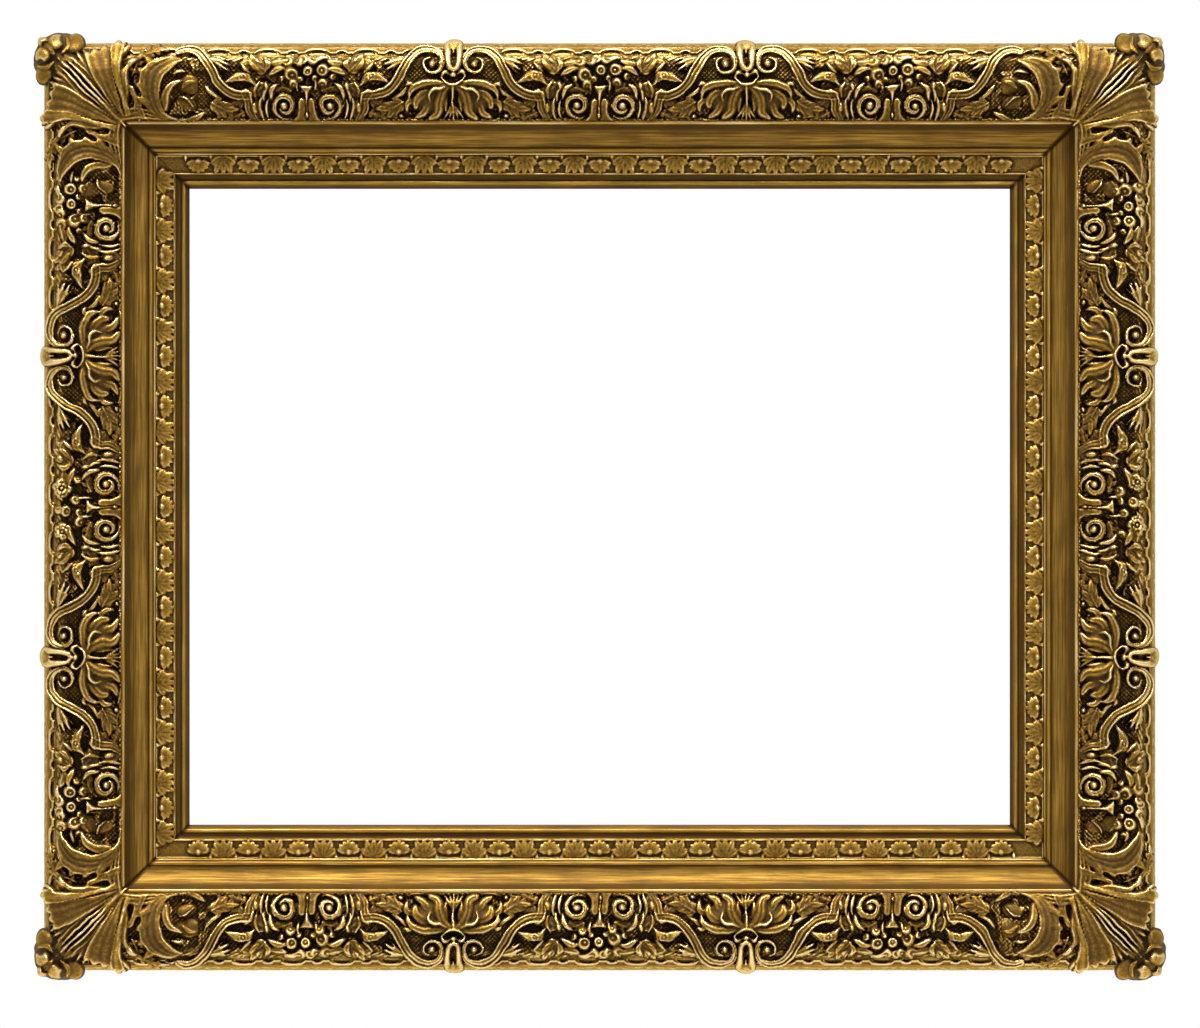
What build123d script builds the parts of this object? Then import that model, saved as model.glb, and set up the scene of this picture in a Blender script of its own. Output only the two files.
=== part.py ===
from build123d import *
import math
import os

os.makedirs("parts", exist_ok=True)

# A gilded picture frame that hangs on a wall. X runs along the wall, Z is up, the wall is the
# plane Y = 0 and the face looks along -Y. The origin is the middle of the back.
# Each rail is drawn lying along x, with y running inwards from its outer edge and z rising from
# the wall, and is then turned onto its side of the frame.

# The opening that the picture shows through
sight_wide = 445.0
sight_high = 345.0

# Strips of the rail's face, from the outer edge inwards
edge_wide = 3.6
ornament_wide = 39.2
fillet_wide = 2.1
cove_wide = 12.0
bead_wide = 2.8

# Heights of the rail above the wall
foot_high = 9.0
edge_high = 36.0
shoulder_in = 13.0
shoulder_high = 42.6
crest_in = 26.0
crest_high = 44.0
ground_end_high = 39.5
fillet_rise = 1.2
cove_drop = 11.0
cove_dip = 2.8
lip_high = 26.0
seat_in = 53.0

# Strips of the slip's face, from the rail's bead inwards
slip_margin = 1.0
leaf_wide = 10.7
hollow_wide = 2.9
sight_bead_wide = 2.7
sight_slope_wide = 1.8

# Heights of the slip above the wall, and the seat for the picture
slip_back = 4.0
leaf_ground_high = 23.0
hollow_high = 21.6
hollow_dip = 0.6
bead_foot_high = 20.8
sight_edge_high = 19.4
picture_seat_high = 18.0
picture_lip = 7.0
slip_play = 0.3

# Pressed strip on the sloping side
strip_thick = 1.2

# Repeats along a rail: bays of scrolls and flowers between clasps, half a bay apart
bay_half_share = 1.88
corner_reach = 77.0
end_clasp_in = 64.6
end_bay_in = 89.0

# Relief of the applied ornament above the ground
scroll_relief = 5.0
flower_relief = 4.0
bracket_relief = 5.5
clasp_relief = 7.5
leaf_relief = 5.5
vein_relief = 7.0
rib_relief = 9.0

# Widths of the ribbons
ribbon_wide = 5.8
hook_wide = 2.2
volute_wide = 1.9

# Clasps reach over the outer edge
clasp_overhang = 4.0
clasp_foot_high = 24.0

# How far out the shoulder of what hangs over the edge reaches, for its overhang
shoulder_out_share = 0.75

# Corner leaves
corner_overhang = 9.3
knob_radius = 15.0
knob_sides = 8
knob_foot_high = 22.0

# Leaf and shield motifs on the slip
motif_pitch = 27.2
motif_base = 1.0
motif_relief = 3.0
motif_gap = 1.8
notch_share = 0.35

# Dovetailed keys across the back of each mitre
key_long = 42.0
key_end_wide = 20.0
key_waist_wide = 11.0
key_deep = 7.0
key_fit = 0.1

# Turn buttons that hold the picture, and their screws
button_long = 30.0
button_wide = 10.0
button_tip_wide = 7.0
button_thick = 1.4
button_gap = 0.1
screw_radius = 1.5
screw_head_radius = 3.1
screw_head_high = 1.3
screw_long = 11.0
shank_sides = 8
turning_fit = 0.08
screw_fit = 0.03

# Ring hanger on the back of the top rail
hanger_in = 27.0
strap_wide = 13.0
strap_long = 24.0
strap_thick = 1.2
ring_wire_radius = 1.4
ring_fit = 0.08
ring_wide = 30.0
ring_end_wide = 16.0
ring_high = 22.0
ring_flat_wide = 2.6
ring_thick = 2.0
ring_clip = 4.0
hanger_screw_drop = 13.0
hanger_screw_long = 16.0

overrun = 5.0

# Sizes that follow
ground_end = edge_wide + ornament_wide
fillet_end = ground_end + fillet_wide
cove_end = fillet_end + cove_wide
rail_face = cove_end + bead_wide
cove_foot_high = ground_end_high - cove_drop
leaf_start = rail_face + slip_margin
leaf_end = leaf_start + leaf_wide
hollow_end = leaf_end + hollow_wide
sight_bead_end = hollow_end + sight_bead_wide
frame_face = sight_bead_end + sight_slope_wide
frame_wide = sight_wide + 2 * frame_face
frame_high = sight_high + 2 * frame_face

SIDES = {
    "bottom": (frame_wide, Plane((0, 0, -frame_high / 2), x_dir=(1, 0, 0), z_dir=(0, -1, 0))),
    "right": (frame_high, Plane((frame_wide / 2, 0, 0), x_dir=(0, 0, 1), z_dir=(0, -1, 0))),
    "top": (frame_wide, Plane((0, 0, frame_high / 2), x_dir=(-1, 0, 0), z_dir=(0, -1, 0))),
    "left": (frame_high, Plane((-frame_wide / 2, 0, 0), x_dir=(0, 0, -1), z_dir=(0, -1, 0))),
}
CORNERS = {
    "bottom_left": Plane(
        (-frame_wide / 2, 0, -frame_high / 2), x_dir=(1, 0, 0), z_dir=(0, -1, 0)
    ),
    "bottom_right": Plane(
        (frame_wide / 2, 0, -frame_high / 2), x_dir=(0, 0, 1), z_dir=(0, -1, 0)
    ),
    "top_right": Plane((frame_wide / 2, 0, frame_high / 2), x_dir=(-1, 0, 0), z_dir=(0, -1, 0)),
    "top_left": Plane((-frame_wide / 2, 0, frame_high / 2), x_dir=(0, 0, -1), z_dir=(0, -1, 0)),
}


def write(name, *solids):
    """Keeps one node: one solid or a group of separate ones."""
    shape = solids[0] if len(solids) == 1 else Compound(children=list(solids))
    shape.label = name
    export_step(shape, f"parts/{name}.step")


def place(plane, shape):
    """Turns a shape drawn in a rail's or corner's own frame onto its place."""
    return [plane.location * solid for solid in shape.solids()]


def bar(section, length):
    """A section drawn in y and z, drawn out along x, the same length each way."""
    return Pos(-length / 2, 0, 0) * extrude(Plane.YZ * section, amount=length)


def mitre(length, depth):
    """What a rail of this outer length keeps when both ends are cut at 45 degrees."""
    outline = Polyline(
        (-length / 2 - overrun, -overrun),
        (length / 2 + overrun, -overrun),
        (length / 2 - depth, depth),
        (-length / 2 + depth, depth),
        close=True,
    )
    return Pos(0, 0, -overrun) * extrude(make_face(outline), amount=2 * crest_high)


def ground_points(rise):
    """The three flats that the ornament lies on, lifted by rise, from the outer edge inwards."""
    return [
        (edge_wide, edge_high + rise),
        (shoulder_in, shoulder_high + rise),
        (crest_in, crest_high + rise),
        (ground_end, ground_end_high + rise),
    ]


def rail_section():
    """The moulding, with the rebate that the slip seats in."""
    cove_middle = (
        (fillet_end + cove_end) / 2 - cove_dip * math.sqrt(0.5),
        (ground_end_high + cove_foot_high) / 2 - cove_dip * math.sqrt(0.5),
    )
    fillet_high = ground_end_high + fillet_rise
    outline = [
        Polyline(
            *reversed(ground_points(0)),
            (strip_thick, foot_high),
            (0, foot_high),
            (0, 0),
            (seat_in, 0),
            (seat_in, lip_high),
            (rail_face, lip_high),
            (rail_face, cove_foot_high),
        ),
        ThreePointArc(
            (rail_face, cove_foot_high),
            (rail_face - bead_wide / 2, cove_foot_high + bead_wide / 2),
            (cove_end, cove_foot_high),
        ),
        ThreePointArc(
            (cove_end, cove_foot_high), cove_middle, (fillet_end, ground_end_high)
        ),
        Polyline(
            (fillet_end, ground_end_high),
            (fillet_end, fillet_high),
            (ground_end, fillet_high),
            (ground_end, ground_end_high),
        ),
    ]
    return make_face(outline)


def slip_section():
    """The inner frame: a flange under the rail's lip, the sight edge and the picture's seat."""
    wall = seat_in + slip_play
    picture_wall = frame_face - picture_lip
    outline = [
        Polyline(
            (leaf_end, hollow_high),
            (leaf_end, leaf_ground_high),
            (leaf_start, leaf_ground_high),
            (leaf_start, lip_high),
            (wall, lip_high),
            (wall, slip_back),
            (picture_wall, slip_back),
            (picture_wall, picture_seat_high),
            (frame_face, picture_seat_high),
            (frame_face, sight_edge_high),
            (sight_bead_end, bead_foot_high),
        ),
        ThreePointArc(
            (sight_bead_end, bead_foot_high),
            (hollow_end + sight_bead_wide / 2, bead_foot_high + sight_bead_wide / 2),
            (hollow_end, bead_foot_high),
        ),
        ThreePointArc(
            (hollow_end, bead_foot_high),
            (leaf_end + hollow_wide / 2, (bead_foot_high + hollow_high) / 2 - hollow_dip),
            (leaf_end, hollow_high),
        ),
    ]
    return make_face(outline)


def band_section(relief):
    """The space over the ornament ground, up to relief above it."""
    return make_face(Polyline(*ground_points(0), *reversed(ground_points(relief)), close=True))


def over_edge_section(overhang, foot, relief):
    """The space over the ground that also hangs over the outer edge, down to foot."""
    shoulder = edge_high + relief - (edge_high - foot) / 2
    outline = Polyline(
        (-overhang * shoulder_out_share, shoulder),
        (-overhang, foot),
        (ground_end, foot),
        *reversed(ground_points(relief)),
        close=True,
    )
    return make_face(outline) - rail_section() - strip_section()


def strip_section():
    return make_face(
        Polyline(
            (0, foot_high),
            (strip_thick, foot_high),
            (edge_wide, edge_high),
            (edge_wide - strip_thick, edge_high),
            close=True,
        )
    )


def prism(outline):
    """An outline in x and y, drawn up through everything."""
    return extrude(outline, amount=2 * crest_high, dir=(0, 0, 1))


def both_hands(outline):
    """An outline and its mirror image across the y axis."""
    return outline + mirror(outline, Plane.YZ)


def spot(share):
    """A point given as shares of the ornament's width, measured from its outer edge."""
    return (share[0] * ornament_wide, edge_wide + share[1] * ornament_wide)


# Points of the ornament in shares of its width: first along the rail from the middle of the
# motif, then inwards from the ornament's outer edge
bracket_hook_shares = [(0.18, 0.26), (0.25, 0.02), (0.45, 0.05)]
bracket_stem_shares = [(0.45, 0.05), (0.64, 0.37), (1.07, 0.73)]
bracket_step_shares = [(1.19, 0.73), (1.19, 0.96)]
scroll_base_shares = [(0.02, 0.96), (0.14, 0.93), (0.18, 0.83)]
scroll_over_shares = [(0.18, 0.83), (0.315, 0.695), (0.45, 0.83)]
scroll_under_shares = [(0.45, 0.83), (0.35, 0.935), (0.255, 0.86)]
scroll_boss_share = (0.315, 0.82)
scroll_boss_radius_share = 0.07
flower_share = (0.0, 0.26)
flower_radius_share = 0.13
stem_shares = ((0.0, 0.95), (0.0, 0.30), 0.09)
leaf_shares = ((0.02, 0.42), (0.42, 0.16), 0.15)
clasp_strap_share = 0.22
clasp_neck_shares = ((0.0, 0.56), (0.0, -0.10), 0.28)
clasp_tongue_shares = ((0.0, 0.99), (0.0, 0.40), 0.18)
clasp_fan_shares = [
    ((0.0, 0.52), (0.32, 0.97), 0.22),
    ((0.0, 0.56), (0.50, 0.62), 0.24),
]
leaf_swell_share = 0.45
lobe_swell_share = 0.5
lobe_blunt_share = 0.45
run_count = 3
boss_sides = 6


def arcs(shares):
    """An arc through three points given as shares of the ornament's width."""
    return ThreePointArc(*[spot(share) for share in shares])


def runs(*curves):
    """Points that part curves, one after the other, into a few straight runs each."""
    points = [curves[0] @ 0]
    for curve in curves:
        points += [curve @ (k / run_count) for k in range(1, run_count + 1)]
    return points


def ribbon(points, wide):
    """A ribbon of even width along straight runs."""
    left, right = [], []
    for k, point in enumerate(points):
        before = points[max(k, 1)] - points[max(k, 1) - 1]
        after = points[min(k, len(points) - 2) + 1] - points[min(k, len(points) - 2)]
        along = before.normalized() + after.normalized()
        across = along.rotate(Axis.Z, 90) * (wide / along.length**2)
        left.append(point + across)
        right.insert(0, point - across)
    return make_face(Polyline(*left, *right, close=True))


def bracket_stem():
    """The long S of a bracket, with a stepped end at the fillet."""
    start, middle, end = [spot(share) for share in bracket_stem_shares]
    upper = TangentArc(start, middle, tangent=arcs(bracket_hook_shares) % 1)
    lower = TangentArc(middle, end, tangent=upper % 1)
    step = [Vector(*spot(share)) for share in bracket_step_shares]
    return ribbon(runs(upper, lower) + step, ribbon_wide)


def bracket_outline():
    """The same bracket with the hook that curls over beside a clasp."""
    hook = ribbon(runs(arcs(bracket_hook_shares)), hook_wide)
    return hook + bracket_stem()


def scroll_outline():
    """One volute: a narrow ribbon that rises from the fillet and curls in to a round boss."""
    path = runs(arcs(scroll_base_shares), arcs(scroll_over_shares), arcs(scroll_under_shares))
    boss = RegularPolygon(scroll_boss_radius_share * ornament_wide, boss_sides)
    return ribbon(path, volute_wide) + Pos(*spot(scroll_boss_share)) * boss


def kite(start, end, wide):
    """A small leaf between two points, widest near its start."""
    a, b = Vector(*start), Vector(*end)
    across = (b - a).rotate(Axis.Z, 90).normalized() * (wide / 2)
    wide_at = a + (b - a) * leaf_swell_share
    return make_face(Polyline(a, wide_at + across, b, wide_at - across, close=True))


def lobe(start, end, wide):
    """A broad leaf between two points, with a blunt end."""
    a, b = Vector(*start), Vector(*end)
    across = (b - a).rotate(Axis.Z, 90).normalized() * (wide / 2)
    wide_at = a + (b - a) * lobe_swell_share
    blunt = across * lobe_blunt_share
    outline = Polyline(a, wide_at + across, b + blunt, b - blunt, wide_at - across, close=True)
    return make_face(outline)


def spot_kite(start, end, wide_share):
    return kite(spot(start), spot(end), wide_share * ornament_wide)


def flower_outline(hands):
    """The spray over a pair of volutes: a flower on its stem, with a leaf on each hand."""
    flower = RegularPolygon(flower_radius_share * ornament_wide, boss_sides)
    spray = Pos(*spot(flower_share)) * flower
    spray += spot_kite(*stem_shares)
    leaf = spot_kite(*leaf_shares)
    return spray + (both_hands(leaf) if hands == 2 else leaf)


def clasp_outline():
    """A strap over the outer edge that narrows to a neck, with a fan of leaves below it."""
    outline = Pos(0, (edge_wide - clasp_overhang) / 2) * Rectangle(
        clasp_strap_share * ornament_wide, edge_wide + clasp_overhang
    )
    outline += spot_kite(*clasp_neck_shares) + spot_kite(*clasp_tongue_shares)
    for leaf in clasp_fan_shares:
        outline += both_hands(spot_kite(*leaf))
    return outline


def repeats(length):
    """Where the bays and clasps stand on a rail, and whether its ends are clasps or bays."""
    count = max(2, int((length / 2 - corner_reach) // (bay_half_share * ornament_wide)))
    ends_in_clasp = count % 2 == 1
    end_in = end_clasp_in if ends_in_clasp else end_bay_in
    step = (length / 2 - end_in) / count
    bays = [k * step for k in range(1 - count, count) if k % 2 == 0]
    clasps = [k * step for k in range(1 - count, count) if k % 2 == 1]
    return bays, clasps, count * step, ends_in_clasp


def key_outline(grow):
    """A dovetailed key that lies across a mitre, or with grow its pocket."""
    half_long = key_long / 2 + grow
    half_end = key_end_wide / 2 + grow
    half_waist = key_waist_wide / 2 + grow
    outline = Polyline(
        (-half_long, -half_end),
        (0, -half_waist),
        (half_long, -half_end),
        (half_long, half_end),
        (0, half_waist),
        (-half_long, half_end),
        close=True,
    )
    return Pos(seat_in / 2, seat_in / 2) * Rot(0, 0, -45) * make_face(outline)


def key_pockets(length):
    pocket = extrude(key_outline(key_fit), amount=key_deep + key_fit)
    pocket += Pos(0, 0, -overrun) * extrude(key_outline(key_fit), amount=overrun)
    start = Pos(-length / 2, 0, 0) * pocket
    return start + mirror(start, Plane.YZ)


# The turn buttons stand in the middle of the slip's back
button_in = (seat_in + slip_play + frame_face - picture_lip) / 2
button_high = slip_back - button_gap
head_seat_high = button_high - button_thick - button_gap


def button_shift():
    """Half the button's reach to one side, so that at rest it lies about the rail's middle."""
    return -(button_long - button_wide) / 2


def turn_button():
    """A plate with clipped corners that turns on its wider end. It lies along x."""
    back, reach = -button_wide / 2, button_long - button_wide / 2
    wide, tip = button_wide / 2, button_tip_wide / 2
    clip = button_tip_wide / 4
    outline = Polyline(
        (back, clip - wide),
        (back + clip, -wide),
        (wide, -wide),
        (reach - clip, -tip),
        (reach, clip - tip),
        (reach, tip - clip),
        (reach - clip, tip),
        (wide, wide),
        (back + clip, wide),
        (back, wide - clip),
        close=True,
    )
    plate = make_face(outline) - Circle(screw_radius + turning_fit)
    return extrude(plate, amount=-button_thick)


def pan_screw(long):
    """A screw that points along z, with the underside of its head at zero and a plain shank."""
    shank = extrude(RegularPolygon(screw_radius, shank_sides), amount=long)
    return shank + extrude(Circle(screw_head_radius), amount=-screw_head_high)


def slip_with_hole(length):
    slip = bar(slip_section(), length) & mitre(length, frame_face)
    depth = screw_long - (slip_back - head_seat_high) + screw_fit
    hole = extrude(Circle(screw_radius + screw_fit), amount=depth + overrun)
    return slip - Pos(button_shift(), button_in, slip_back - overrun) * hole


def motif_row(length):
    """The strip of leaves and shields that is pressed onto the slip, mitred at its ends."""
    low, high = leaf_start, leaf_end
    notch = low + leaf_wide * notch_share
    half_pitch = motif_pitch / 2
    count = int((length / 2 - leaf_end) // half_pitch)
    teeth = []
    for k in range(-count, count + 1):
        middle = k * half_pitch
        teeth.append((middle - half_pitch / 2, notch))
        if k % 2 == 0:
            teeth.append((middle, high))
        else:
            teeth.append((middle - half_pitch / 2 + motif_gap, high))
            teeth.append((middle + half_pitch / 2 - motif_gap, high))
    outline = Polyline(
        (-length / 2, low), *teeth, (-teeth[0][0], notch), (length / 2, low), close=True
    )
    raised = extrude(make_face(outline), amount=motif_base + motif_relief, dir=(0, 0, 1))
    base = Pos(0, (low + high) / 2, motif_base / 2) * Box(length, high - low, motif_base)
    return Pos(0, 0, leaf_ground_high) * (raised + base) & mitre(length, frame_face)


def edge_strip(length):
    """The pressed strip on the sloping side."""
    return bar(strip_section(), length) & mitre(length, frame_face)


def on_ground(outline, relief, length):
    """Applied ornament: an outline raised by relief over the curved ground."""
    return prism(outline) & bar(band_section(relief), length)


def bracket_group(length, clasps, end_at, ends_in_clasp):
    outline = bracket_outline()
    both = both_hands(outline)
    outlines = [Pos(x, 0) * both for x in clasps]
    if ends_in_clasp:
        stem = bracket_stem()
        outlines += [Pos(-end_at, 0) * stem, Pos(end_at, 0) * mirror(stem, Plane.YZ)]
    return on_ground(Sketch() + outlines, bracket_relief, length)


def scroll_group(length, bays, end_at, ends_in_clasp):
    volute = scroll_outline()
    outlines = [Pos(x, 0) * both_hands(volute) for x in bays]
    if not ends_in_clasp:
        outlines += [Pos(-end_at, 0) * volute, Pos(end_at, 0) * mirror(volute, Plane.YZ)]
    return on_ground(Sketch() + outlines, scroll_relief, length)


def flower_group(length, bays, end_at, ends_in_clasp):
    spray = flower_outline(2)
    outlines = [Pos(x, 0) * spray for x in bays]
    if not ends_in_clasp:
        half_spray = flower_outline(1)
        outlines += [
            Pos(-end_at, 0) * half_spray,
            Pos(end_at, 0) * mirror(half_spray, Plane.YZ),
        ]
    return on_ground(Sketch() + outlines, flower_relief, length)


def clasp_group(clasps):
    section = over_edge_section(clasp_overhang, clasp_foot_high, clasp_relief)
    clasp = prism(clasp_outline()) & bar(section, 2 * ornament_wide)
    return [Pos(x, 0, 0) * clasp for x in clasps]


# Points of the corner leaf in shares of its reach, measured from the two outer edges. Only the
# lobes along one edge are listed: the other half mirrors them.
lobe_shares = [
    ((0.36, 0.40), (0.42, -0.04), 0.20),
    ((0.48, 0.46), (0.60, -0.03), 0.17),
]
curl_shares = ((0.60, 0.52), (0.84, 0.14), 0.27)
stalk_shares = ((0.50, 0.50), (0.84, 0.46), 0.12)
rib_shares = ((0.12, 0.12), (0.57, 0.57), 0.10)
vein_wide_share = 0.05


def on_reach(shares):
    """A leaf's two ends and width, from shares of the corner leaf's reach."""
    (start_x, start_y), (end_x, end_y), wide = shares
    reach = corner_reach
    return (start_x * reach, start_y * reach), (end_x * reach, end_y * reach), wide * reach


def corner_half(outline, relief):
    """The part of an outline that lies on the rail along x, raised by relief."""
    section = over_edge_section(corner_overhang, knob_foot_high, relief)
    corner = 2 * corner_reach
    side = make_face(Polyline((-corner, -corner), (corner, -corner), (corner, corner), close=True))
    return prism(outline & side) & bar(section, 2 * corner)


def corner_leaf():
    """A lobed leaf over the mitre: a knob, a fan of lobes with veins, a rib and curled leaves."""
    centre = knob_radius - corner_overhang
    body = Pos(centre, centre) * Rot(0, 0, 180 / knob_sides) * RegularPolygon(
        knob_radius, knob_sides, major_radius=False
    )
    for shares in lobe_shares + [curl_shares]:
        body += lobe(*on_reach(shares))
    body += kite(*on_reach(stalk_shares)) + kite(*on_reach(rib_shares))
    veins = Sketch() + [
        kite(*on_reach((start, end, vein_wide_share)))
        for start, end, wide in lobe_shares + [curl_shares]
    ]
    half = corner_half(body, leaf_relief)
    half += corner_half(veins, vein_relief)
    half += corner_half(kite(*on_reach(rib_shares)), rib_relief)
    return half + mirror(half, Plane((0, 0, 0), z_dir=(1, -1, 0)))


# The hanger is drawn flat: x along the wall, y up, z into the rail, with the ring's bar at zero
eye_radius = ring_wire_radius + ring_fit + strap_thick
hanger_head_seat = eye_radius - strap_thick
hanger_plane = Plane(
    (0, eye_radius, frame_high / 2 - hanger_in), x_dir=(1, 0, 0), z_dir=(0, -1, 0)
)


def hanger_strap():
    """A strip rolled into an eye round the ring's bar, with one screw hole."""
    section = Circle(eye_radius) + Pos(-strap_long / 2, eye_radius - strap_thick / 2) * Rectangle(
        strap_long, strap_thick
    )
    strap = bar(section - Circle(ring_wire_radius + ring_fit), strap_wide)
    hole = Cylinder(screw_radius + turning_fit, 2 * eye_radius + overrun)
    return strap - Pos(0, -hanger_screw_drop, 0) * hole


def hanger_ring():
    """A flat loop with clipped corners on a round bar that turns in the strap's eye."""
    half, end, foot = ring_wide / 2, ring_end_wide / 2, -ring_high
    path = Polyline(
        (-half, 0),
        (-end, foot + ring_clip),
        (ring_clip - end, foot),
        (end - ring_clip, foot),
        (end, foot + ring_clip),
        (half, 0),
    )
    loop = extrude(trace(path, line_width=ring_flat_wide), amount=ring_thick / 2, both=True)
    return loop + Rot(0, 90, 0) * Cylinder(ring_wire_radius, ring_wide + ring_flat_wide)


def hanger_hole():
    """The pilot hole in the top rail's back."""
    depth = hanger_screw_long - strap_thick + screw_fit
    return Pos(0, -hanger_screw_drop, eye_radius - overrun) * extrude(
        Circle(screw_radius + screw_fit), amount=depth + overrun
    )


button_screws = []
for side, (length, plane) in SIDES.items():
    bays, clasps, end_at, ends_in_clasp = repeats(length)

    # Wooden rail, with pockets for the keys across its mitres, and the slip inside it
    rail = bar(rail_section(), length + 2 * overrun) & mitre(length, frame_face)
    rail = plane.location * (rail - key_pockets(length))
    if side == "top":
        rail -= hanger_plane.location * hanger_hole()
    write(f"{side}_rail", *rail.solids())
    write(f"{side}_slip", *place(plane, slip_with_hole(length)))
    write(f"{side}_leaf_band", *place(plane, motif_row(length)))
    write(f"{side}_edge_strip", *place(plane, edge_strip(length)))

    # Applied ornament on the carved ground
    brackets = bracket_group(length, clasps, end_at, ends_in_clasp)
    write(f"{side}_brackets", *place(plane, brackets))
    write(f"{side}_scrolls", *place(plane, scroll_group(length, bays, end_at, ends_in_clasp)))
    write(f"{side}_flowers", *place(plane, flower_group(length, bays, end_at, ends_in_clasp)))
    write(f"{side}_clasps", *[s for c in clasp_group(clasps) for s in place(plane, c)])

    # Turn button, at rest along the rail, with its screw
    button = Pos(button_shift(), button_in, button_high) * turn_button()
    write(f"{side}_turn_button", *place(plane, button))
    screw = Pos(button_shift(), button_in, head_seat_high) * pan_screw(screw_long)
    button_screws += place(plane, screw)
write("turn_button_screws", *button_screws)

leaf = corner_leaf()
key = extrude(key_outline(0), amount=key_deep)
for corner, plane in CORNERS.items():
    write(f"{corner}_leaf", *place(plane, leaf))
    write(f"{corner}_key", *place(plane, key))

write("hanger_strap", *place(hanger_plane, hanger_strap()))
write("hanger_ring", *place(hanger_plane, hanger_ring()))
hanger_screw = Pos(0, -hanger_screw_drop, hanger_head_seat) * pan_screw(hanger_screw_long)
write("hanger_screw", *place(hanger_plane, hanger_screw))
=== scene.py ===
import math

import bpy
import numpy as np
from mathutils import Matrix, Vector


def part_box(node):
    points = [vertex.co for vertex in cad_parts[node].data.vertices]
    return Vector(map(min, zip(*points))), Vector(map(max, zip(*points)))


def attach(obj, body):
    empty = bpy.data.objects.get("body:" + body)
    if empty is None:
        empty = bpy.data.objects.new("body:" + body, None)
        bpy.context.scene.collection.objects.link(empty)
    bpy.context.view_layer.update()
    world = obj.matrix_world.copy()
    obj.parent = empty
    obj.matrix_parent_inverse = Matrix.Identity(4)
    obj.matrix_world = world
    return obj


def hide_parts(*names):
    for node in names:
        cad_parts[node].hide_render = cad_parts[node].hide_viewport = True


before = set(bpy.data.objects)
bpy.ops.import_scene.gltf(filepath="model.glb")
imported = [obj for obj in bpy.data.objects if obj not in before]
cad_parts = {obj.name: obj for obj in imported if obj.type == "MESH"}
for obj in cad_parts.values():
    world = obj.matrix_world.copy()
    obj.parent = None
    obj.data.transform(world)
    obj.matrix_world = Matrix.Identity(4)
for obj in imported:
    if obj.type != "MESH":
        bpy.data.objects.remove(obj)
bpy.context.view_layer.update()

# Everything is drawn in millimetres in a rail's own frame and turned onto its side at the end:
# x along the rail from its middle, y inwards from its outer edge, z out from the wall.
MM = 0.001
half_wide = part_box("bottom_rail")[1][0] / MM
half_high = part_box("left_rail")[1][2] / MM
step = 0.5

# Strips of the face, from the outer edge inwards, and their heights above the wall
edge_wide, ground_end, fillet_end, cove_end, rail_face = 3.6, 42.8, 44.9, 56.9, 59.7
foot_high, edge_high, ground_end_high, cove_foot_high, lip_high = 9.0, 36.0, 39.5, 28.5, 26.0
fillet_rise, cove_dip, seat_in, bead_rise, diagonal = 1.2, 2.8, 53.0, 1.4, 0.7071
leaf_start, leaf_end, hollow_end, sight_bead_end, frame_face = 60.7, 71.4, 74.3, 77.0, 78.8
leaf_ground_high, hollow_high, bead_foot_high, sight_edge_high = 23.0, 21.6, 20.8, 19.4
picture_seat_high, picture_wall, slip_back = 18.0, 71.8, 4.0
sight_bead_rise, hollow_dip = 1.35, 0.6
scoop_deep, scoop_start, skin_under, skin_deep = 3.6, 9.0, 0.9, 1.6
rail_gilt_from, slip_gilt_from = 8.0, 17.9  # bare wood below these heights
key_proud = 0.08  # how far the mitre keys stand behind the rails' back
arris, slip_arris = 0.25, 0.2  # edges broken by hand
# The undersides of the reliefs are painted dark with this value: painted shade under them
underside_shade = 0.7  # how dark the undersides of the reliefs are, from 0 to 1
station_pitch = 3.0  # along a moulding
motif_pitch = 27.2
clasp_at, bay_long, end_long = 78.9, 157.8, 236.7
clasp_side, bay_side = 81.15, 162.3
clasp_low, knob_low = 26.0, 23.0

# Reliefs: their grids on a rail and in a corner, from past the outer edge inwards, and their ends
rail_out, rail_in, rail_clear = -4.0, 43.0, 34.0
corner_out, corner_in = -9.2, 85.0
outside = -9.0  # for a point outside every outline
undercut = 0.4  # how far a relief goes on below the depth where it starts
crest, crest_room = 51.0, 1.7  # the height where a relief is pressed down, and what it may rise over it

# The carved ground is one smooth curve over the three flats that carry it
flats = [(edge_wide, edge_high), (13.0, 42.6), (26.0, 44.0), (ground_end, ground_end_high)]
ground_curve = np.polyfit([y for y, z in flats], [z for y, z in flats], 3)
edge_slope = np.polyval(np.polyder(ground_curve), edge_wide)
droop = 0.02


def ground(y):
    """Height of the ornament's ground. Past the outer edge it droops on, for what hangs over."""
    past = np.maximum(edge_wide - y, 0)
    inside = np.polyval(ground_curve, np.clip(y, edge_wide, ground_end))
    return inside - edge_slope * past - droop * past**2


TURNS = {
    "bottom": lambda x, y, z: (x, -z, y - half_high),
    "right": lambda x, y, z: (half_wide - y, -z, x),
    "top": lambda x, y, z: (-x, -z, half_high - y),
    "left": lambda x, y, z: (y - half_wide, -z, -x),
    "bottom_left": lambda x, y, z: (x - half_wide, -z, y - half_high),
    "bottom_right": lambda x, y, z: (half_wide - x, -z, y - half_high),
    "top_right": lambda x, y, z: (half_wide - x, -z, half_high - y),
    "top_left": lambda x, y, z: (x - half_wide, -z, half_high - y),
}
MIRRORED = ("bottom_right", "top_left")
HALF = {"bottom": half_wide, "right": half_high, "top": half_wide, "left": half_high}


# Numbers that look random but come out the same each run

cells = 64  # rows and columns of a noise table


def between(table, i0, i1, j0, j1, a, b):
    """A table's values between its rows i0 and i1 and its columns j0 and j1."""
    low = table[i0, j0] * (1 - a) + table[i1, j0] * a
    high = table[i0, j1] * (1 - a) + table[i1, j1] * a
    return low * (1 - b) + high * b


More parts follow.
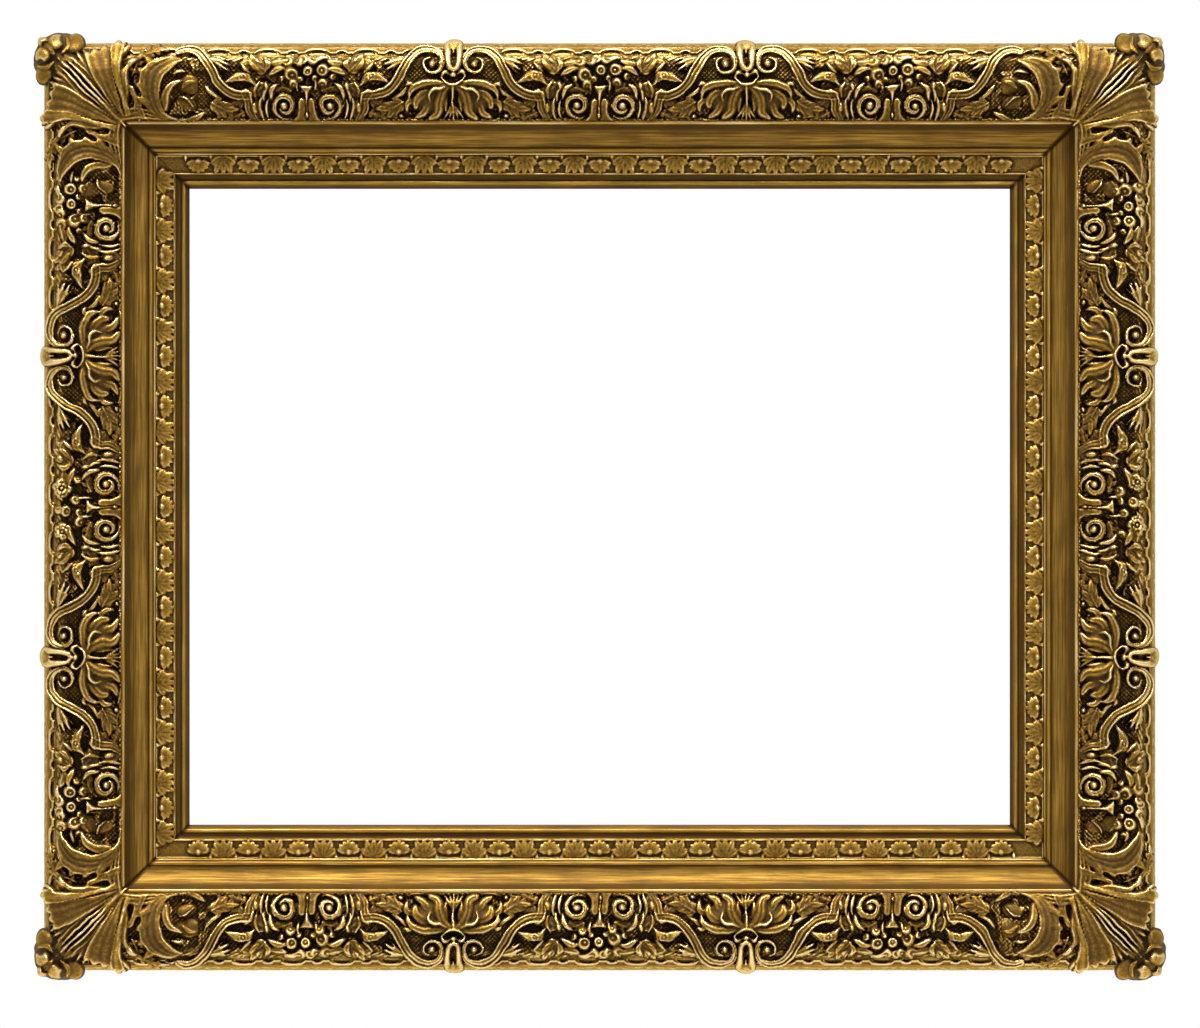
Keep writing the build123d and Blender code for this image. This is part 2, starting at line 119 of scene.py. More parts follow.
def noise(x, y, size, seed):
    """Smooth value noise from -1 to 1, with features about size across."""
    table = np.random.default_rng(seed).random((cells, cells))
    u, v = x / size, y / size
    i, j = np.floor(u).astype(int), np.floor(v).astype(int)
    a, b = u - i, v - j
    a, b = a * a * (3 - 2 * a), b * b * (3 - 2 * b)
    return 2 * between(table, i % cells, (i + 1) % cells, j % cells, (j + 1) % cells, a, b) - 1


def ease(t):
    t = np.clip(t, 0, 1)
    return t * t * (3 - 2 * t)


def dome(q):
    """A half round, from 1 at its middle to 0 where q is 1."""
    return np.sqrt(np.clip(1 - q * q, 0, 1))


def bump(away, width):
    """A soft ridge, 1 on its line."""
    return np.exp(-((away / width) ** 2))


def graded(share, values):
    """Values given at even steps, read at a share of the way."""
    return np.interp(share, np.linspace(0, 1, len(values)), values)


def placed(place, x, y, z):
    """Points in metres, from a rail's or a corner's own frame."""
    return np.stack(TURNS[place](x, y, z), -1) * MM


def blurred(field, radius):
    """A field averaged over a soft window of this radius, in cells."""
    width = max(1, int(radius))
    span = 2 * width + 1
    for axis in (0, 0, 1, 1):
        pad = [(0, 0), (0, 0)]
        pad[axis] = (width + 1, width)
        total = np.moveaxis(np.cumsum(np.pad(field, pad, mode="edge"), axis=axis), axis, 0)
        field = np.moveaxis((total[span:] - total[:-span]) / span, 0, axis)
    return field


def smooth_path(points, count):
    """A smooth line through a few points."""
    points = np.asarray(points, float)
    ends = np.vstack([2 * points[0] - points[1], points, 2 * points[-1] - points[-2]])
    t = np.linspace(0, len(points) - 1 - 1e-9, count)
    k = t.astype(int)
    f = (t - k)[:, None]
    p0, p1, p2, p3 = ends[k], ends[k + 1], ends[k + 2], ends[k + 3]
    return 0.5 * (
        2 * p1 + (p2 - p0) * f + (2 * p0 - 5 * p1 + 4 * p2 - p3) * f**2
        + (3 * p1 - p0 - 3 * p2 + p3) * f**3
    )


class Relief:
    """Heights of one kind of ornament above the ground, on a grid over a rail or a corner."""

    sink = 5.0  # how far below the ground a grid starts
    soft = 0.9  # how wide the rim of a shape is rounded

    def __init__(self, x_range, y_range):
        self.x = np.arange(x_range[0], x_range[1] + step / 2, step)
        self.y = np.arange(y_range[0], y_range[1] + step / 2, step)
        self.h = np.full((len(self.x), len(self.y)), -self.sink)
        self.inside = np.full(self.h.shape, outside)
        self.turn = ((1, 0), (0, 1))
        self.at = (0.0, 0.0)

    def grid(self):
        return np.meshgrid(self.x, self.y, indexing="ij")

    def stand(self, at, hand=1, swap=False):
        """Where the next shapes go: their origin, their hand, and x and y swapped or not."""
        self.at = at
        self.turn = ((0, hand), (1, 0)) if swap else ((hand, 0), (0, 1))
        return self

    def spots(self, points):
        return np.asarray(points, float) @ np.asarray(self.turn, float).T + self.at

    def window(self, points, reach):
        low, high = points.min(0) - reach - 2 * step, points.max(0) + reach + 2 * step
        i = np.searchsorted(self.x, [low[0], high[0]])
        j = np.searchsorted(self.y, [low[1], high[1]])
        cut = (slice(i[0], i[1]), slice(j[0], j[1]))
        x, y = np.meshgrid(self.x[cut[0]], self.y[cut[1]], indexing="ij")
        return cut, x, y

    def around(self, centre, reach):
        """The grid points near a place, and where they lie from it."""
        centre = self.spots([centre])
        cut, x, y = self.window(centre, reach + step)
        return cut, x - centre[0, 0], y - centre[0, 1]

    def raise_to(self, cut, height, inside):
        """Lays a shape over what is there. inside is how far a point is within its outline."""
        up = (height + self.sink) * ease(0.25 + inside / self.soft) - self.sink
        up = np.where(inside > 0, up, -self.sink)
        self.h[cut] = np.maximum(self.h[cut], up)
        self.inside[cut] = np.maximum(self.inside[cut], inside)

    def along(self, points, reach, count=None):
        """For each grid point near a line: the share of the line's length, and the offset."""
        points = self.spots(points)
        path = smooth_path(points, count or 9 * len(points))
        cut, x, y = self.window(path, reach)
        best = np.full(x.shape, 1e9)
        share = np.zeros(x.shape)
        offset = np.zeros(x.shape)
        sign = self.turn[0][0] * self.turn[1][1] - self.turn[0][1] * self.turn[1][0]
        for k in range(len(path) - 1):
            ax, ay = path[k]
            dx, dy = path[k + 1] - path[k]
            size = dx * dx + dy * dy
            t = np.clip(((x - ax) * dx + (y - ay) * dy) / size, 0, 1)
            ox, oy = x - ax - t * dx, y - ay - t * dy
            d = ox * ox + oy * oy
            near = d < best
            best = np.where(near, d, best)
            share = np.where(near, (k + t) / (len(path) - 1), share)
            offset = np.where(near, np.sign(dx * oy - dy * ox) * np.sqrt(d) * sign, offset)
        return cut, share, offset

    def stroke(self, points, half_widths, heights, ribbon=False, count=None):
        """A bead along a line, or a bracket's ribbon."""
        cut, u, d = self.along(points, max(half_widths) + step, count)
        w, high = graded(u, half_widths), graded(u, heights)
        q = np.clip(d / w, -1, 1)
        shape = np.interp(q, *zip(*RIBBON)) if ribbon else 0.3 + 0.7 * np.sqrt(1 - q * q)
        self.raise_to(cut, high * shape, w - np.abs(d))

    def blade(self, points, width, high, crease=0.8, blunt=0.55, cup=0.0):
        """One leaf lobe along a line: pointed at its ends, creased down the middle, tip raised."""
        cut, u, d = self.along(points, width + step)
        w = width * np.clip(np.sin(math.pi * np.clip(0.06 + 0.94 * u, 0, 1) ** 0.85), 0, 1) ** blunt
        w = np.maximum(w, 0.12)
        q = np.clip(np.abs(d) / w, 0, 1)
        rise = high * (0.66 + 0.34 * np.sin(math.pi * np.clip(u * 0.9, 0, 1)))
        shape = (1 - cup) * np.sqrt(1 - 0.75 * q * q) + cup * (0.7 + 0.3 * q * q)
        surface = rise * shape - crease * bump(d, 0.5) * ease(u * 4)
        self.raise_to(cut, surface, w - np.abs(d))

    def spray(self, points, width, high, pairs=3):
        """An acanthus leaf: pairs of curved lobes along a spine, and one at its tip."""
        lean, taper = 0.95, 0.75
        path = smooth_path(points, 40)
        for k in range(pairs):
            u = 0.06 + 0.62 * k / max(pairs - 1, 1)
            i = int(u * 38)
            ahead = path[min(i + 3, 39)] - path[i]
            ahead = ahead / np.hypot(*ahead)
            size = width * (1 - taper * abs(u - 0.34) ** 1.3)
            for hand in (-1, 1):
                c, sn = math.cos(lean), math.sin(lean) * hand
                out = np.array([ahead[0] * c - ahead[1] * sn, ahead[0] * sn + ahead[1] * c])
                tip = path[i] + out * size + ahead * size * 0.35
                self.blade([path[i], path[i] + out * size * 0.55, tip], 0.33 * size + 0.45,
                           high * (0.76 + 0.08 * ((k + hand) % 2)), 0.9, 0.4)
        self.blade(path[::4], 0.42 * width, high * 0.72, 0.0, 0.5)
        self.blade(path[int(0.5 * 38)::4], 0.34 * width + 0.4, high, 0.9, 0.45)
        self.stroke(path[:34:4], [0.9, 0.7, 0.35], [high * 0.9, high, high * 0.9])

    def fan(self, left, right, heights, flutes=4, flute_high=0.6, cup=0.15, tips=0, notch=0.1,
            edge=0.0, bend=0.0):
        """A fluted lobe between two lines that both run from its base to its tip."""
        left, right = self.spots(left), self.spots(right)
        count = 160
        a, b = smooth_path(left, count), smooth_path(right, count)
        over = 1.5 * step / max(np.hypot(*(a[-1] - a[-2])), np.hypot(*(b[-1] - b[-2]))) / count
        grow = int(max(2, over * count * 1.2))
        tail_a = a[-1] + (a[-1] - a[-2]) * np.arange(1, grow + 1)[:, None]
        tail_b = b[-1] + (b[-1] - b[-2]) * np.arange(1, grow + 1)[:, None]
        a, b = np.vstack([a, tail_a]), np.vstack([b, tail_b])
        u = np.arange(len(a)) / (count - 1)
        wide = np.maximum(np.hypot(*(b - a).T), 0.3)
        length = max(np.hypot(*np.diff(a, axis=0).T).sum(), np.hypot(*np.diff(b, axis=0).T).sum())
        across = np.linspace(0, 1, int(max(24, 2.6 * wide.max() / step)))
        margin = (1.5 * step / wide)[:, None]
        v = -margin + (1 + 2 * margin) * across[None, :]
        uu = np.broadcast_to(u[:, None], v.shape)
        ww = np.broadcast_to(wide[:, None], v.shape)
        x = a[:, :1] * (1 - v) + b[:, :1] * v
        y = a[:, 1:] * (1 - v) + b[:, 1:] * v
        end = 1 - (notch * (1 - np.abs(np.cos(math.pi * tips * np.clip(v, 0, 1)))) if tips else 0 * v)
        end = end - bend * (2 * v - 1) ** 2
        inside = np.minimum(np.minimum(v, 1 - v) * ww, (end - uu) * length)
        high = graded(uu, heights)
        vc = np.clip(v, 0, 1)
        ridge = 0.5 + 0.5 * np.cos(2 * math.pi * flutes * vc)
        deep = np.minimum(flute_high, 0.45 * ww / max(flutes, 1)) * ease(uu * 5)
        z = high * (1 - cup * (1 - (2 * vc - 1) ** 2) * ease(uu * 1.5)) + edge * (vc - 0.5)
        z = z - (deep * (1 - ridge**0.7) if flutes else 0)
        cut, gx, gy = self.window(np.vstack([a, b]), step)
        i = (x - gx[0, 0]) / step
        j = (y - gy[0, 0]) / step
        i0, j0 = np.floor(i).astype(int), np.floor(j).astype(int)
        fi, fj = i - i0, j - j0
        total = np.zeros((3,) + gx.shape)
        ok = (i0 >= 0) & (j0 >= 0) & (i0 < gx.shape[0] - 1) & (j0 < gx.shape[1] - 1)
        for di in (0, 1):
            for dj in (0, 1):
                weight = ((fi if di else 1 - fi) * (fj if dj else 1 - fj))[ok] ** 2 + 1e-9
                spot = (i0[ok] + di, j0[ok] + dj)
                for layer, value in zip(total, (weight, weight * z[ok], weight * inside[ok])):
                    np.add.at(layer, spot, value)
        seen = total[0] > 1e-6
        safe = np.where(seen, total[0], 1)
        self.raise_to(cut, total[1] / safe, np.where(seen, total[2] / safe, outside))

    def ball(self, centre, radii, high, base=0.0, turn=0.0):
        """A dome with an oval outline."""
        cut, dx, dy = self.around(centre, max(radii))
        c, s = math.cos(turn), math.sin(turn)
        q = np.sqrt(((dx * c + dy * s) / radii[0]) ** 2 + ((dy * c - dx * s) / radii[1]) ** 2)
        self.raise_to(cut, base + (high - base) * dome(q), (1 - q) * min(radii))

    def flower(self, centre, radius, high, petals=5, turn=0.0, lift=0.45):
        """A rosette: cupped petals with creases between them, and a round heart in a ring."""
        cut, dx, dy = self.around(centre, radius * 1.1)
        rho, angle = np.hypot(dx, dy), np.arctan2(dy, dx) - turn
        petal = np.abs(np.cos(angle * petals / 2))
        edge = radius * (0.78 + 0.22 * petal**0.5)
        q = np.clip(rho / edge, 0, 1)
        surface = high * (lift + (1 - lift) * np.sin(math.pi * np.clip(q * 0.7 + 0.02, 0, 1)))
        surface = surface * (1 - 0.16 * q * (1 + np.cos(angle * 2 + 5 * turn)))
        surface = surface - 0.35 * high * bump(petal * rho, 0.5) * ease(q * 1.6)
        surface = surface - 0.10 * high * bump((1 - petal) * rho, 0.5) * ease(q * 1.6)
        heart = high * dome(rho / (0.27 * radius))
        moat = 0.45 * high * bump(rho - 0.38 * radius, 0.08 * radius)
        self.raise_to(cut, np.maximum(surface - moat, heart), edge - rho)

    def bell(self, centre, radius, high, lean):
        """A cup seen at a slant: a dome with a hollow to one side and a bud in it."""
        cut, dx, dy = self.around(centre, radius)
        q = np.hypot(dx, dy) / radius
        lean = np.asarray(self.turn, float) @ lean
        across = np.hypot(dx / radius - lean[0], dy / radius - lean[1])
        hollow = 0.42 * ease((0.66 - across) / 0.35) - 0.2 * ease((0.3 - across) / 0.3)
        self.raise_to(cut, high * (0.1 + 0.9 * dome(q) - hollow), (1 - q) * radius)


# A bracket's section: a round outer ridge, a groove, a hollow face and a thin inner ridge
RIBBON = [(-1, 0.45), (-0.86, 0.88), (-0.66, 1.0), (-0.46, 0.86), (-0.34, 0.42), (-0.24, 0.46), (-0.1, 0.74),
          (0.15, 0.70), (0.42, 0.52), (0.56, 0.56), (0.72, 0.88), (0.86, 0.86), (1, 0.45)]


def spiral(centre, start_angle, turns, radii, count=26):
    """Points of a spiral, with radii given at even steps along it."""
    angles = start_angle + np.linspace(0, turns * 2 * math.pi, count)
    r = graded(np.linspace(0, 1, count), radii)
    return [(centre[0] + a * math.cos(t), centre[1] + a * math.sin(t)) for a, t in zip(r, angles)]


# Ornament of a bay: two volutes on a shared foot, with flowers and leaves over them

def bay_scrolls(relief, at, hands):
    for hand in hands:
        relief.stand((at, 0), hand)
        # From the fillet round the outer side of the volute, over it and in to its boss
        curl = spiral((12.2, 35.2), 2.15, -1.25, [7.4, 6.3, 5.6, 5.3, 5, 4.4, 3.7, 2.9], 40)
        relief.stroke(curl, [0.9, 1.5, 1.8, 1.9, 1.8, 1.5, 1], [3.6, 5, 6.2, 6.8, 6.6, 6, 5.4], True, 160)
        relief.ball((12.2, 35.2), (2.5, 2.4), 7.4, 2.4)
        # The foot that joins the pair, with concave sides
        relief.fan([(0, 43.8), (0, 38.5), (0, 34), (0, 30)],
                   [(9.6, 43.9), (6, 40.6), (5, 35.6), (5.6, 30.6)],
                   [4.4, 5.2, 5.6, 4.8], flutes=0, cup=0.12, bend=0.2)
        relief.stroke([(5.5, 43.2), (12, 43.7), (18.5, 43)], [0.8, 1, 0.6], [2.6, 2.8, 2.2])


def bay_flowers(relief, at, hands, roses=False):
    for hand in hands:
        relief.stand((at, 0), hand)
        # Husk round the outside of the volute: narrow leaves with dark gaps, and a bud
        for line, width, high in (([(20.4, 43), (22, 36.4), (20.8, 30)], 1.3, 4.6),
                                  ([(23.2, 43.4), (25.2, 36), (24.4, 29)], 1.5, 5),
                                  ([(19.8, 31.6), (18.6, 26), (14, 22.6)], 1.9, 6),
                                  ([(23.4, 33), (22.8, 28), (18, 21.4)], 1.4, 5.2),
                                  ([(27.6, 32), (28.4, 27), (25.2, 20.6)], 1.5, 5)):
            relief.blade(line, width, high, 0.7)
        relief.ball((21.8, 24.4), (1.7, 3.2), 7.6, 1, 0.2)
        # Egg in its cup beside the bracket's step
        relief.fan([(25.2, 43.6), (24.8, 38), (25.8, 32)], [(31.6, 43.6), (31.8, 38), (30, 32)],
                   [2.2, 3.2, 3.8], 2, 0.5, 0.4)
        relief.ball((28.2, 36.4), (2.2, 3.7), 6, 1, 0.1)
        # Leaf with a small flower on it, that points to the bracket over a dark hollow
        relief.fan([(28.6, 22.6), (31, 17.4), (38.6, 17), (46.6, 23.6)],
                   [(29.6, 24.4), (34, 22.6), (39.6, 22.8), (46.8, 24.6)], [4, 5.4, 5.6, 4], 2, 1, 0)
        relief.flower((34.7, 19.4), 2.9, 7.4, 5, 0.6)
        relief.spray([(31, 30.6), (36.6, 33), (42.5, 35.6)], 4.4, 3.2)
        relief.spray([(33, 38.6), (38, 40.6), (44.5, 42.2)], 3.6, 3.4)
        # Low leaves behind the others
        relief.spray([(22, 24), (27, 27), (33, 29.6)], 4.6, 3.4)
        relief.spray([(22, 17), (29, 11.6), (37, 12.6)], 5.4, 3.4, 4)
        relief.spray([(8, 27.4), (13, 25.4), (19.6, 27)], 3.6, 2.6)
        # Leaves towards the outer edge
        relief.fan([(58, 8.6), (49, 8.2), (39, 10.4)], [(56.6, 10.4), (50.6, 13.6), (43, 19.2)],
                   [3.6, 5.4, 6.4], 3, 1.2, 0, 3, 0.3)
        relief.blade([(22.4, 16), (20.8, 12.4), (23.4, 8.8)], 2.1, 5.2, 0.9)
        relief.blade([(26, 15.4), (29.4, 12.8), (30.8, 9.2)], 1.9, 4.8, 0.8)
        relief.blade([(24.6, 12), (26.6, 10.4), (26, 8.8)], 1.3, 4.4, 0.6)
        relief.blade([(30, 17.6), (33.4, 14.6), (36, 11.2)], 1.5, 5.2, 0.7)
        relief.blade([(20.4, 18.4), (15.6, 15.4), (10.6, 15.2)], 2.3, 6.4, 0.7)
        relief.blade([(20, 12.6), (15, 12), (9.8, 10.4)], 2.5, 4.6, 0.9)
        relief.blade([(4.6, 19.6), (5.2, 24.4), (4.4, 28.6)], 1.3, 4.6, 0.5)
    relief.stand((at, 0), 1)
    relief.fan([(-4.2, 24.6), (-1.3, 30), (-0.8, 40.4)], [(4.2, 24.6), (1.3, 30), (0.8, 40.4)],
               [6, 6.6, 6.6], 2, 0.9, 0)
    relief.ball((0, 40.2), (1.7, 2.2), 7.4)
    # Bells and buds in a bunch over the volutes, or two roses among a few of them
    bunch = ((-8.6, 15.8, 3.5, 8.2, (0.1, 0.1)), (-0.5, 16.3, 2.9, 9, (0, 0.15)),
             (8.3, 18, 3.8, 7.8, (-0.2, 0.2)), (-9, 22.6, 2.7, 7.4, (0.1, 0.45)),
             (7.2, 23.2, 2.6, 7.4, (-0.1, 0.45)), (1.9, 10.2, 2.8, 6.4, (0.1, -0.1)),
             (-3, 10.6, 3, 6.6, (-0.3, -0.4)), (4.1, 11.4, 2.7, 7, (0.4, -0.3)),
             (9.9, 11.6, 3.3, 6.2, (0.3, -0.3)), (13.6, 20.4, 2, 5.6, (0.4, 0.3)),
             (-14.2, 19.4, 2.2, 5.8, (-0.4, 0.2)), (3.4, 21, 2, 6.4, (0.1, 0.4)),
             (-4.4, 20.4, 2, 6.2, (-0.2, 0.4)))
    if roses:
        bunch = ((2.4, 13.4, 3, 7, (0.1, 0.2)), (-3.2, 18.6, 2.8, 7.6, (-0.1, 0.3)),
                 (8, 20.6, 3, 7.2, (0.1, 0.45)), (1.6, 9.4, 2.6, 5.6, (-0.4, -0.2)),
                 (-14.6, 19.8, 2.6, 6, (-0.4, 0.2)), (3, 20.4, 2.2, 6.4, (0.1, 0.4)))
        for x, wide, turn in ((-10, 6.2, 0.3), (13, 5.4, 1.1)):
            relief.flower((x, 11.8), wide, 6.6, 6, turn, 0.55)
            relief.flower((x + 0.3, 11.5), 0.62 * wide, 8.6, 4, turn + 0.5, 0.6)
    for x, y, radius, high, lean in bunch:
        relief.bell((x, y), 1.15 * radius, high, lean)
    relief.blade([(-3, 11.6), (-8, 8.8), (-12.4, 9.4)], 2, 4.8, 0.8)


# Ornament of a clasp: the strap and palmette, and the bracket that curls over on each hand

def bracket(relief, at, hand, hook):
    relief.stand((at, 0), hand)
    line = [(9.6, 5.4), (14.2, 4.2), (19.4, 5.6), (24, 10), (27.4, 15.8),
            (31, 22.4), (36.2, 27.4), (42, 29.6), (47.4, 29.9)]
    wide, high = [2.3, 2.8] + [3] * 7, [7, 7.2, 7.2, 7, 7, 6.8, 6.6, 6.4, 6.2]
    if hook:
        # It winds inwards round a bead
        line = [(12.2, 9.2), (15.3, 10.6), (16, 13.4), (14.2, 16.2), (10.9, 17.1), (7.4, 15.6), (6, 12),
                (7, 8)] + line
        wide, high = [0.8, 1, 1.1, 1.2, 1.4, 1.6, 1.8, 2] + wide, [6.4, 6.4, 6.2, 6, 6.2, 6.6, 7, 7] + high
    relief.stroke(line, wide, high, True, 150)
    relief.stroke([(45.6, 28.4), (47.6, 32.6), (48.2, 37.6), (51.8, 43.4)], [2.8, 2.9, 2.8, 2],
                  [5.8, 6.2, 5.6, 3.8], True, 60)
    if hook:
        relief.ball((11.4, 12.6), (2.3, 2.3), 7.6, 1)
    else:
        relief.blade([(14, 43), (19, 41.6), (25, 38)], 2.2, 4, 0.8)
    # Small leaves under the stem, by the fillet
    relief.spray([(27, 33), (34, 36.4), (43.5, 37)], 5.4, 4.4, 4)
    relief.spray([(30, 41.6), (36, 41), (43, 41.8)], 2.6, 3.2)
    relief.blade([(24, 24), (28, 28.6), (34, 31.4)], 1.7, 4, 0.7)


def clasp(relief, at):
    for hand in (-1, 1):
        relief.stand((at, 0), hand)
        # Two sides of the strap, with a narrow slot between them
        relief.stroke([(2.2, 1.4), (3.1, 3), (3.2, 6), (2.9, 11), (2.2, 14.6), (0, 16.6)],
                      [2.2, 2.5, 2.4, 2.2, 2, 1.7], [5.4, 6.8, 7.8, 7.8, 7.4, 7])
        relief.blade([(2, 18.4), (4.8, 17.2), (6.6, 20.4)], 1.7, 6.4, 0.6)
        # Palmette: a drooping tongue with a curl over it, and the lobes of a leaf that spreads beyond
        relief.ball((11.6, 32), (9.4, 7.6), 4.4, 0.5, 0.35)
        relief.blade([(2.2, 24.4), (5.8, 27.8), (8, 33.4), (8.8, 39), (13.8, 42.4)], 3.5, 7, 1, 0.35)
        relief.stroke([(12.6, 33), (13.4, 29.4), (10.8, 26.8), (7, 26.4), (3.6, 24.8)],
                      [0.8, 1.4, 1.6, 1.4, 0.9], [5.6, 7.2, 8, 7.6, 6])
        relief.blade([(4.8, 23.6), (10, 23), (17, 23.6), (22.8, 26.6), (24.6, 31.4)], 2.8, 6.4, 0.8, 0.4)
        relief.blade([(12, 27.6), (16.6, 29), (20, 32.4), (20.2, 37.4)], 3.2, 6, 0.8, 0.35)
        relief.blade([(11.6, 33.4), (14.2, 35), (16.2, 38.8), (21.4, 41.6)], 2.9, 5.2, 0.8, 0.4)
        relief.blade([(21.6, 31), (25.4, 34.6), (25, 39.6)], 2.3, 4.6, 0.7)
        relief.blade([(21, 24.6), (24.4, 23.4), (26.6, 25.8)], 1.7, 5, 0.6)
        relief.blade([(2.8, 29), (4, 34), (4.4, 39.6)], 1.7, 5.2, 0.6)
        relief.blade([(15, 42.6), (20, 43.2), (26.6, 41.2)], 1.5, 3.8, 0.6)
        relief.ball((28.6, 40.6), (2.1, 1.7), 4.2, 0.5)
        for out, down in ((6.2, 43), (2.8, 43.4)):
            relief.blade([(0.4, 33.6), (out * 0.4, 38), (out, down)], 1.35, 5, 0.5)
    relief.stand((at, 0), 1)
    relief.ball((0, 2), (5.6, 3.6), 6.4, 2.6)
    relief.stroke([(0, 1.4), (0, 6.6)], [1.4, 1], [6, 6])
    relief.ball((0, 19), (2.5, 1.9), 6.6, 1)
    relief.stroke([(-6.6, 19.6), (-3.6, 22.6), (0, 23.7), (3.6, 22.6), (6.6, 19.6)],
                  [0.7, 1.2, 1.4, 1.2, 0.7], [5.8, 6.8, 7.2, 6.8, 5.8])
    relief.stroke([(0, 24.6), (0, 33), (0, 42.6)], [1.7, 1, 0.9], [6, 5.8, 4.8])


# Corner leaf: drawn for the corner's two edges, then again with x and y swapped

def corner_relief(relief, swap):
    relief.stand((0, 0), 1, swap)
    # Ground leaves in the outer angle between the lobes and the curled leaf
    relief.spray([(49, 19), (54, 9), (62, 4.6), (70, 4.8)], 4.2, 5.4, 5)
    relief.blade([(50, 12.5), (53.4, 8.4), (57.8, 6)], 1.9, 5.6)
    # Stalk that sweeps along the fillet, in three runs
    for k in range(3):
        relief.stroke([(43, 42.5 - 1.2 * k), (52, 41.6 - 2.4 * k), (62, 42.2 - 1.5 * k), (74, 43 - 0.4 * k)],
                      [1.7, 1.5, 1.2, 0.7], [7 - 0.5 * k, 6, 4.6, 2.6])
    # Large curled leaf, hollow side towards the bay, with flutes along it
    relief.fan([(72, 43.4), (58.6, 38.6), (53.4, 28), (53.6, 17.6), (59.6, 10.8), (68, 8), (76.5, 9.4)],
               [(73.6, 42.6), (67.2, 37.6), (64.8, 28), (67.2, 19.8), (71.2, 15.4), (74.4, 12.8),
                (77.6, 11.2)],
               [3, 5.4, 7.2, 8.2, 8.6, 8, 5.4], 4, 0.75, 0.25)
    # Its inner curls, and the small leaves in its hollow
    relief.blade([(67.6, 37), (67.4, 30), (70.6, 24.6), (77, 21.6)], 2.9, 6.8, 0.7, 0.5, 0.3)
    relief.blade([(70, 18), (74, 16.8), (78.6, 17.2)], 1.6, 4.6)
    relief.ball((78.6, 33.6), (6.6, 4.4), 1.6, -2, 0.3)
    relief.ball((80, 24), (7, 6), 1.6, -2, 0.3)
    relief.stroke([(74.6, 30.6), (78.6, 31.6), (82.6, 35.6)], [0.7, 1, 0.6], [4.8, 5.8, 5])
    relief.blade([(76, 26), (80, 22.6), (84.6, 22.4)], 1.6, 3.4, 0.8)
    relief.spray([(75, 43), (80, 43), (84.6, 42)], 2, 3.4)
    # Comb of narrow lobes beside the midrib
    relief.fan([(40, 35.6), (30.6, 26.6), (21.6, 18), (13.4, 10.6)],
               [(41.6, 34.4), (34.6, 23.6), (28.6, 12.6), (25, 1.8)],
               [6, 6.4, 6.6, 5.6], 4, 2, 0, 4, 0.16, -0.1)
    # Broad hollow lobe with a raised rim
    relief.fan([(43.4, 41), (34.4, 27.6), (27, 16.6), (22.8, 5.6)],
               [(45.6, 40.4), (42.4, 27.6), (39.6, 13.6), (38.4, 0.2)],
               [6.8, 8.2, 9.2, 8.2], 3, 0.5, 0.10, 3, 0.06, 0, 0)
    relief.stroke([(42.6, 40), (34.4, 28), (27.4, 17), (23.4, 7.4)], [0.7, 1, 1.1, 0.9], [7, 8.8, 9.4, 8.4])
    # Tall lobe that reaches over the outer edge, widening to a slanted tip
    relief.fan([(45.2, 41), (41.2, 25), (38.2, 12.8), (36.4, -0.8)],
               [(49, 39), (45, 25), (44.2, 13), (46.4, -2.2)],
               [7, 8.8, 9.8, 9], 2, 0.7, -0.05, 2, 0.04, -0.5, 0.05)
    relief.blade([(44, 8), (46.4, 4), (47.6, 1.4)], 1.7, 9.6, 0)
    # Lobes on its far side, over a dark hollow
    relief.blade([(46.6, 34), (45.8, 25), (45.6, 16), (52, 9.6)], 2.5, 8.4, 0.6)
    relief.blade([(46.4, 15), (48.6, 11.6), (53, 10)], 2.4, 8.8, 0.3)
    relief.fan([(50, 42), (49.4, 33), (46.4, 23)], [(58.4, 42.6), (55, 35.4), (50.4, 24.6)],
               [5.6, 7, 7.6], 2, 0.8, 0.2)
    # Small lobes along the back of the curled leaf
    for x, y, turn in ((53.4, 31, 0.3), (52.6, 24, 0.1), (53.6, 17, -0.3), (57.2, 11.4, -0.8)):
        relief.blade([(x + 8.6, y + 5.4), (x + 2.2, y + 1 + turn), (x - 1.6, y - 1.4 + 3 * turn)], 3, 7, 0.3)
    # Broad ridges beside the midrib
    for out, wide, high in ((1.9, 1.3, 8.6), (4.4, 1.1, 7.6)):
        relief.stroke([(10.4 + out, 10.4 - 0.5 * out), (23.4 + 0.9 * out, 22.4 - 0.6 * out), (43.8, 43)],
                      [0.6, wide, wide, 0.7], [6, high, high, 6.6])
    # Knob: a leaf tip curled round a bead, and a smooth boss, on one mass
    relief.ball((17.2, 1.4), (5.8, 6.6), 6.4, -1, 0.25)
    relief.ball((12, 1), (6.4, 6.2), 3.6, -1.5)
    relief.bell((7.4, 0.4), 5, 10.2, (0.9, -0.35))
    relief.blade([(11, 6.6), (14.6, 2.4), (12.8, -3.4)], 2, 7.6, 0.9)
    relief.blade([(7, 6.6), (3.6, 4.6), (0.6, 1.6)], 1.8, 8, 0.8)
    relief.blade([(12.6, 7.6), (16, 10.6), (21, 12)], 1.9, 6, 0.9)
    relief.blade([(11.6, 9.6), (13.4, 13.6), (17, 16.4)], 1.7, 6.8, 0.8)


def corner_middle(relief):
    relief.stand((0, 0), 1)
    relief.ball((8.2, 8.2), (13.4, 13.4), 2.6, -1.5)
    relief.bell((0.2, 0.2), 3.6, 7.6, (0.45, 0.45))
    relief.stroke([(11.5, 11.5), (20, 20), (32, 32), (46, 46)], [0.9, 1.3, 1.5, 1.3],
                  [7.4, 9.2, 9.2, 6.8])
    relief.ball((43.4, 43.4), (1.5, 1.5), 8)


# Meshes

def linked(name, data):
    thing = bpy.data.objects.new(name, data)
    bpy.context.scene.collection.objects.link(thing)
    return thing


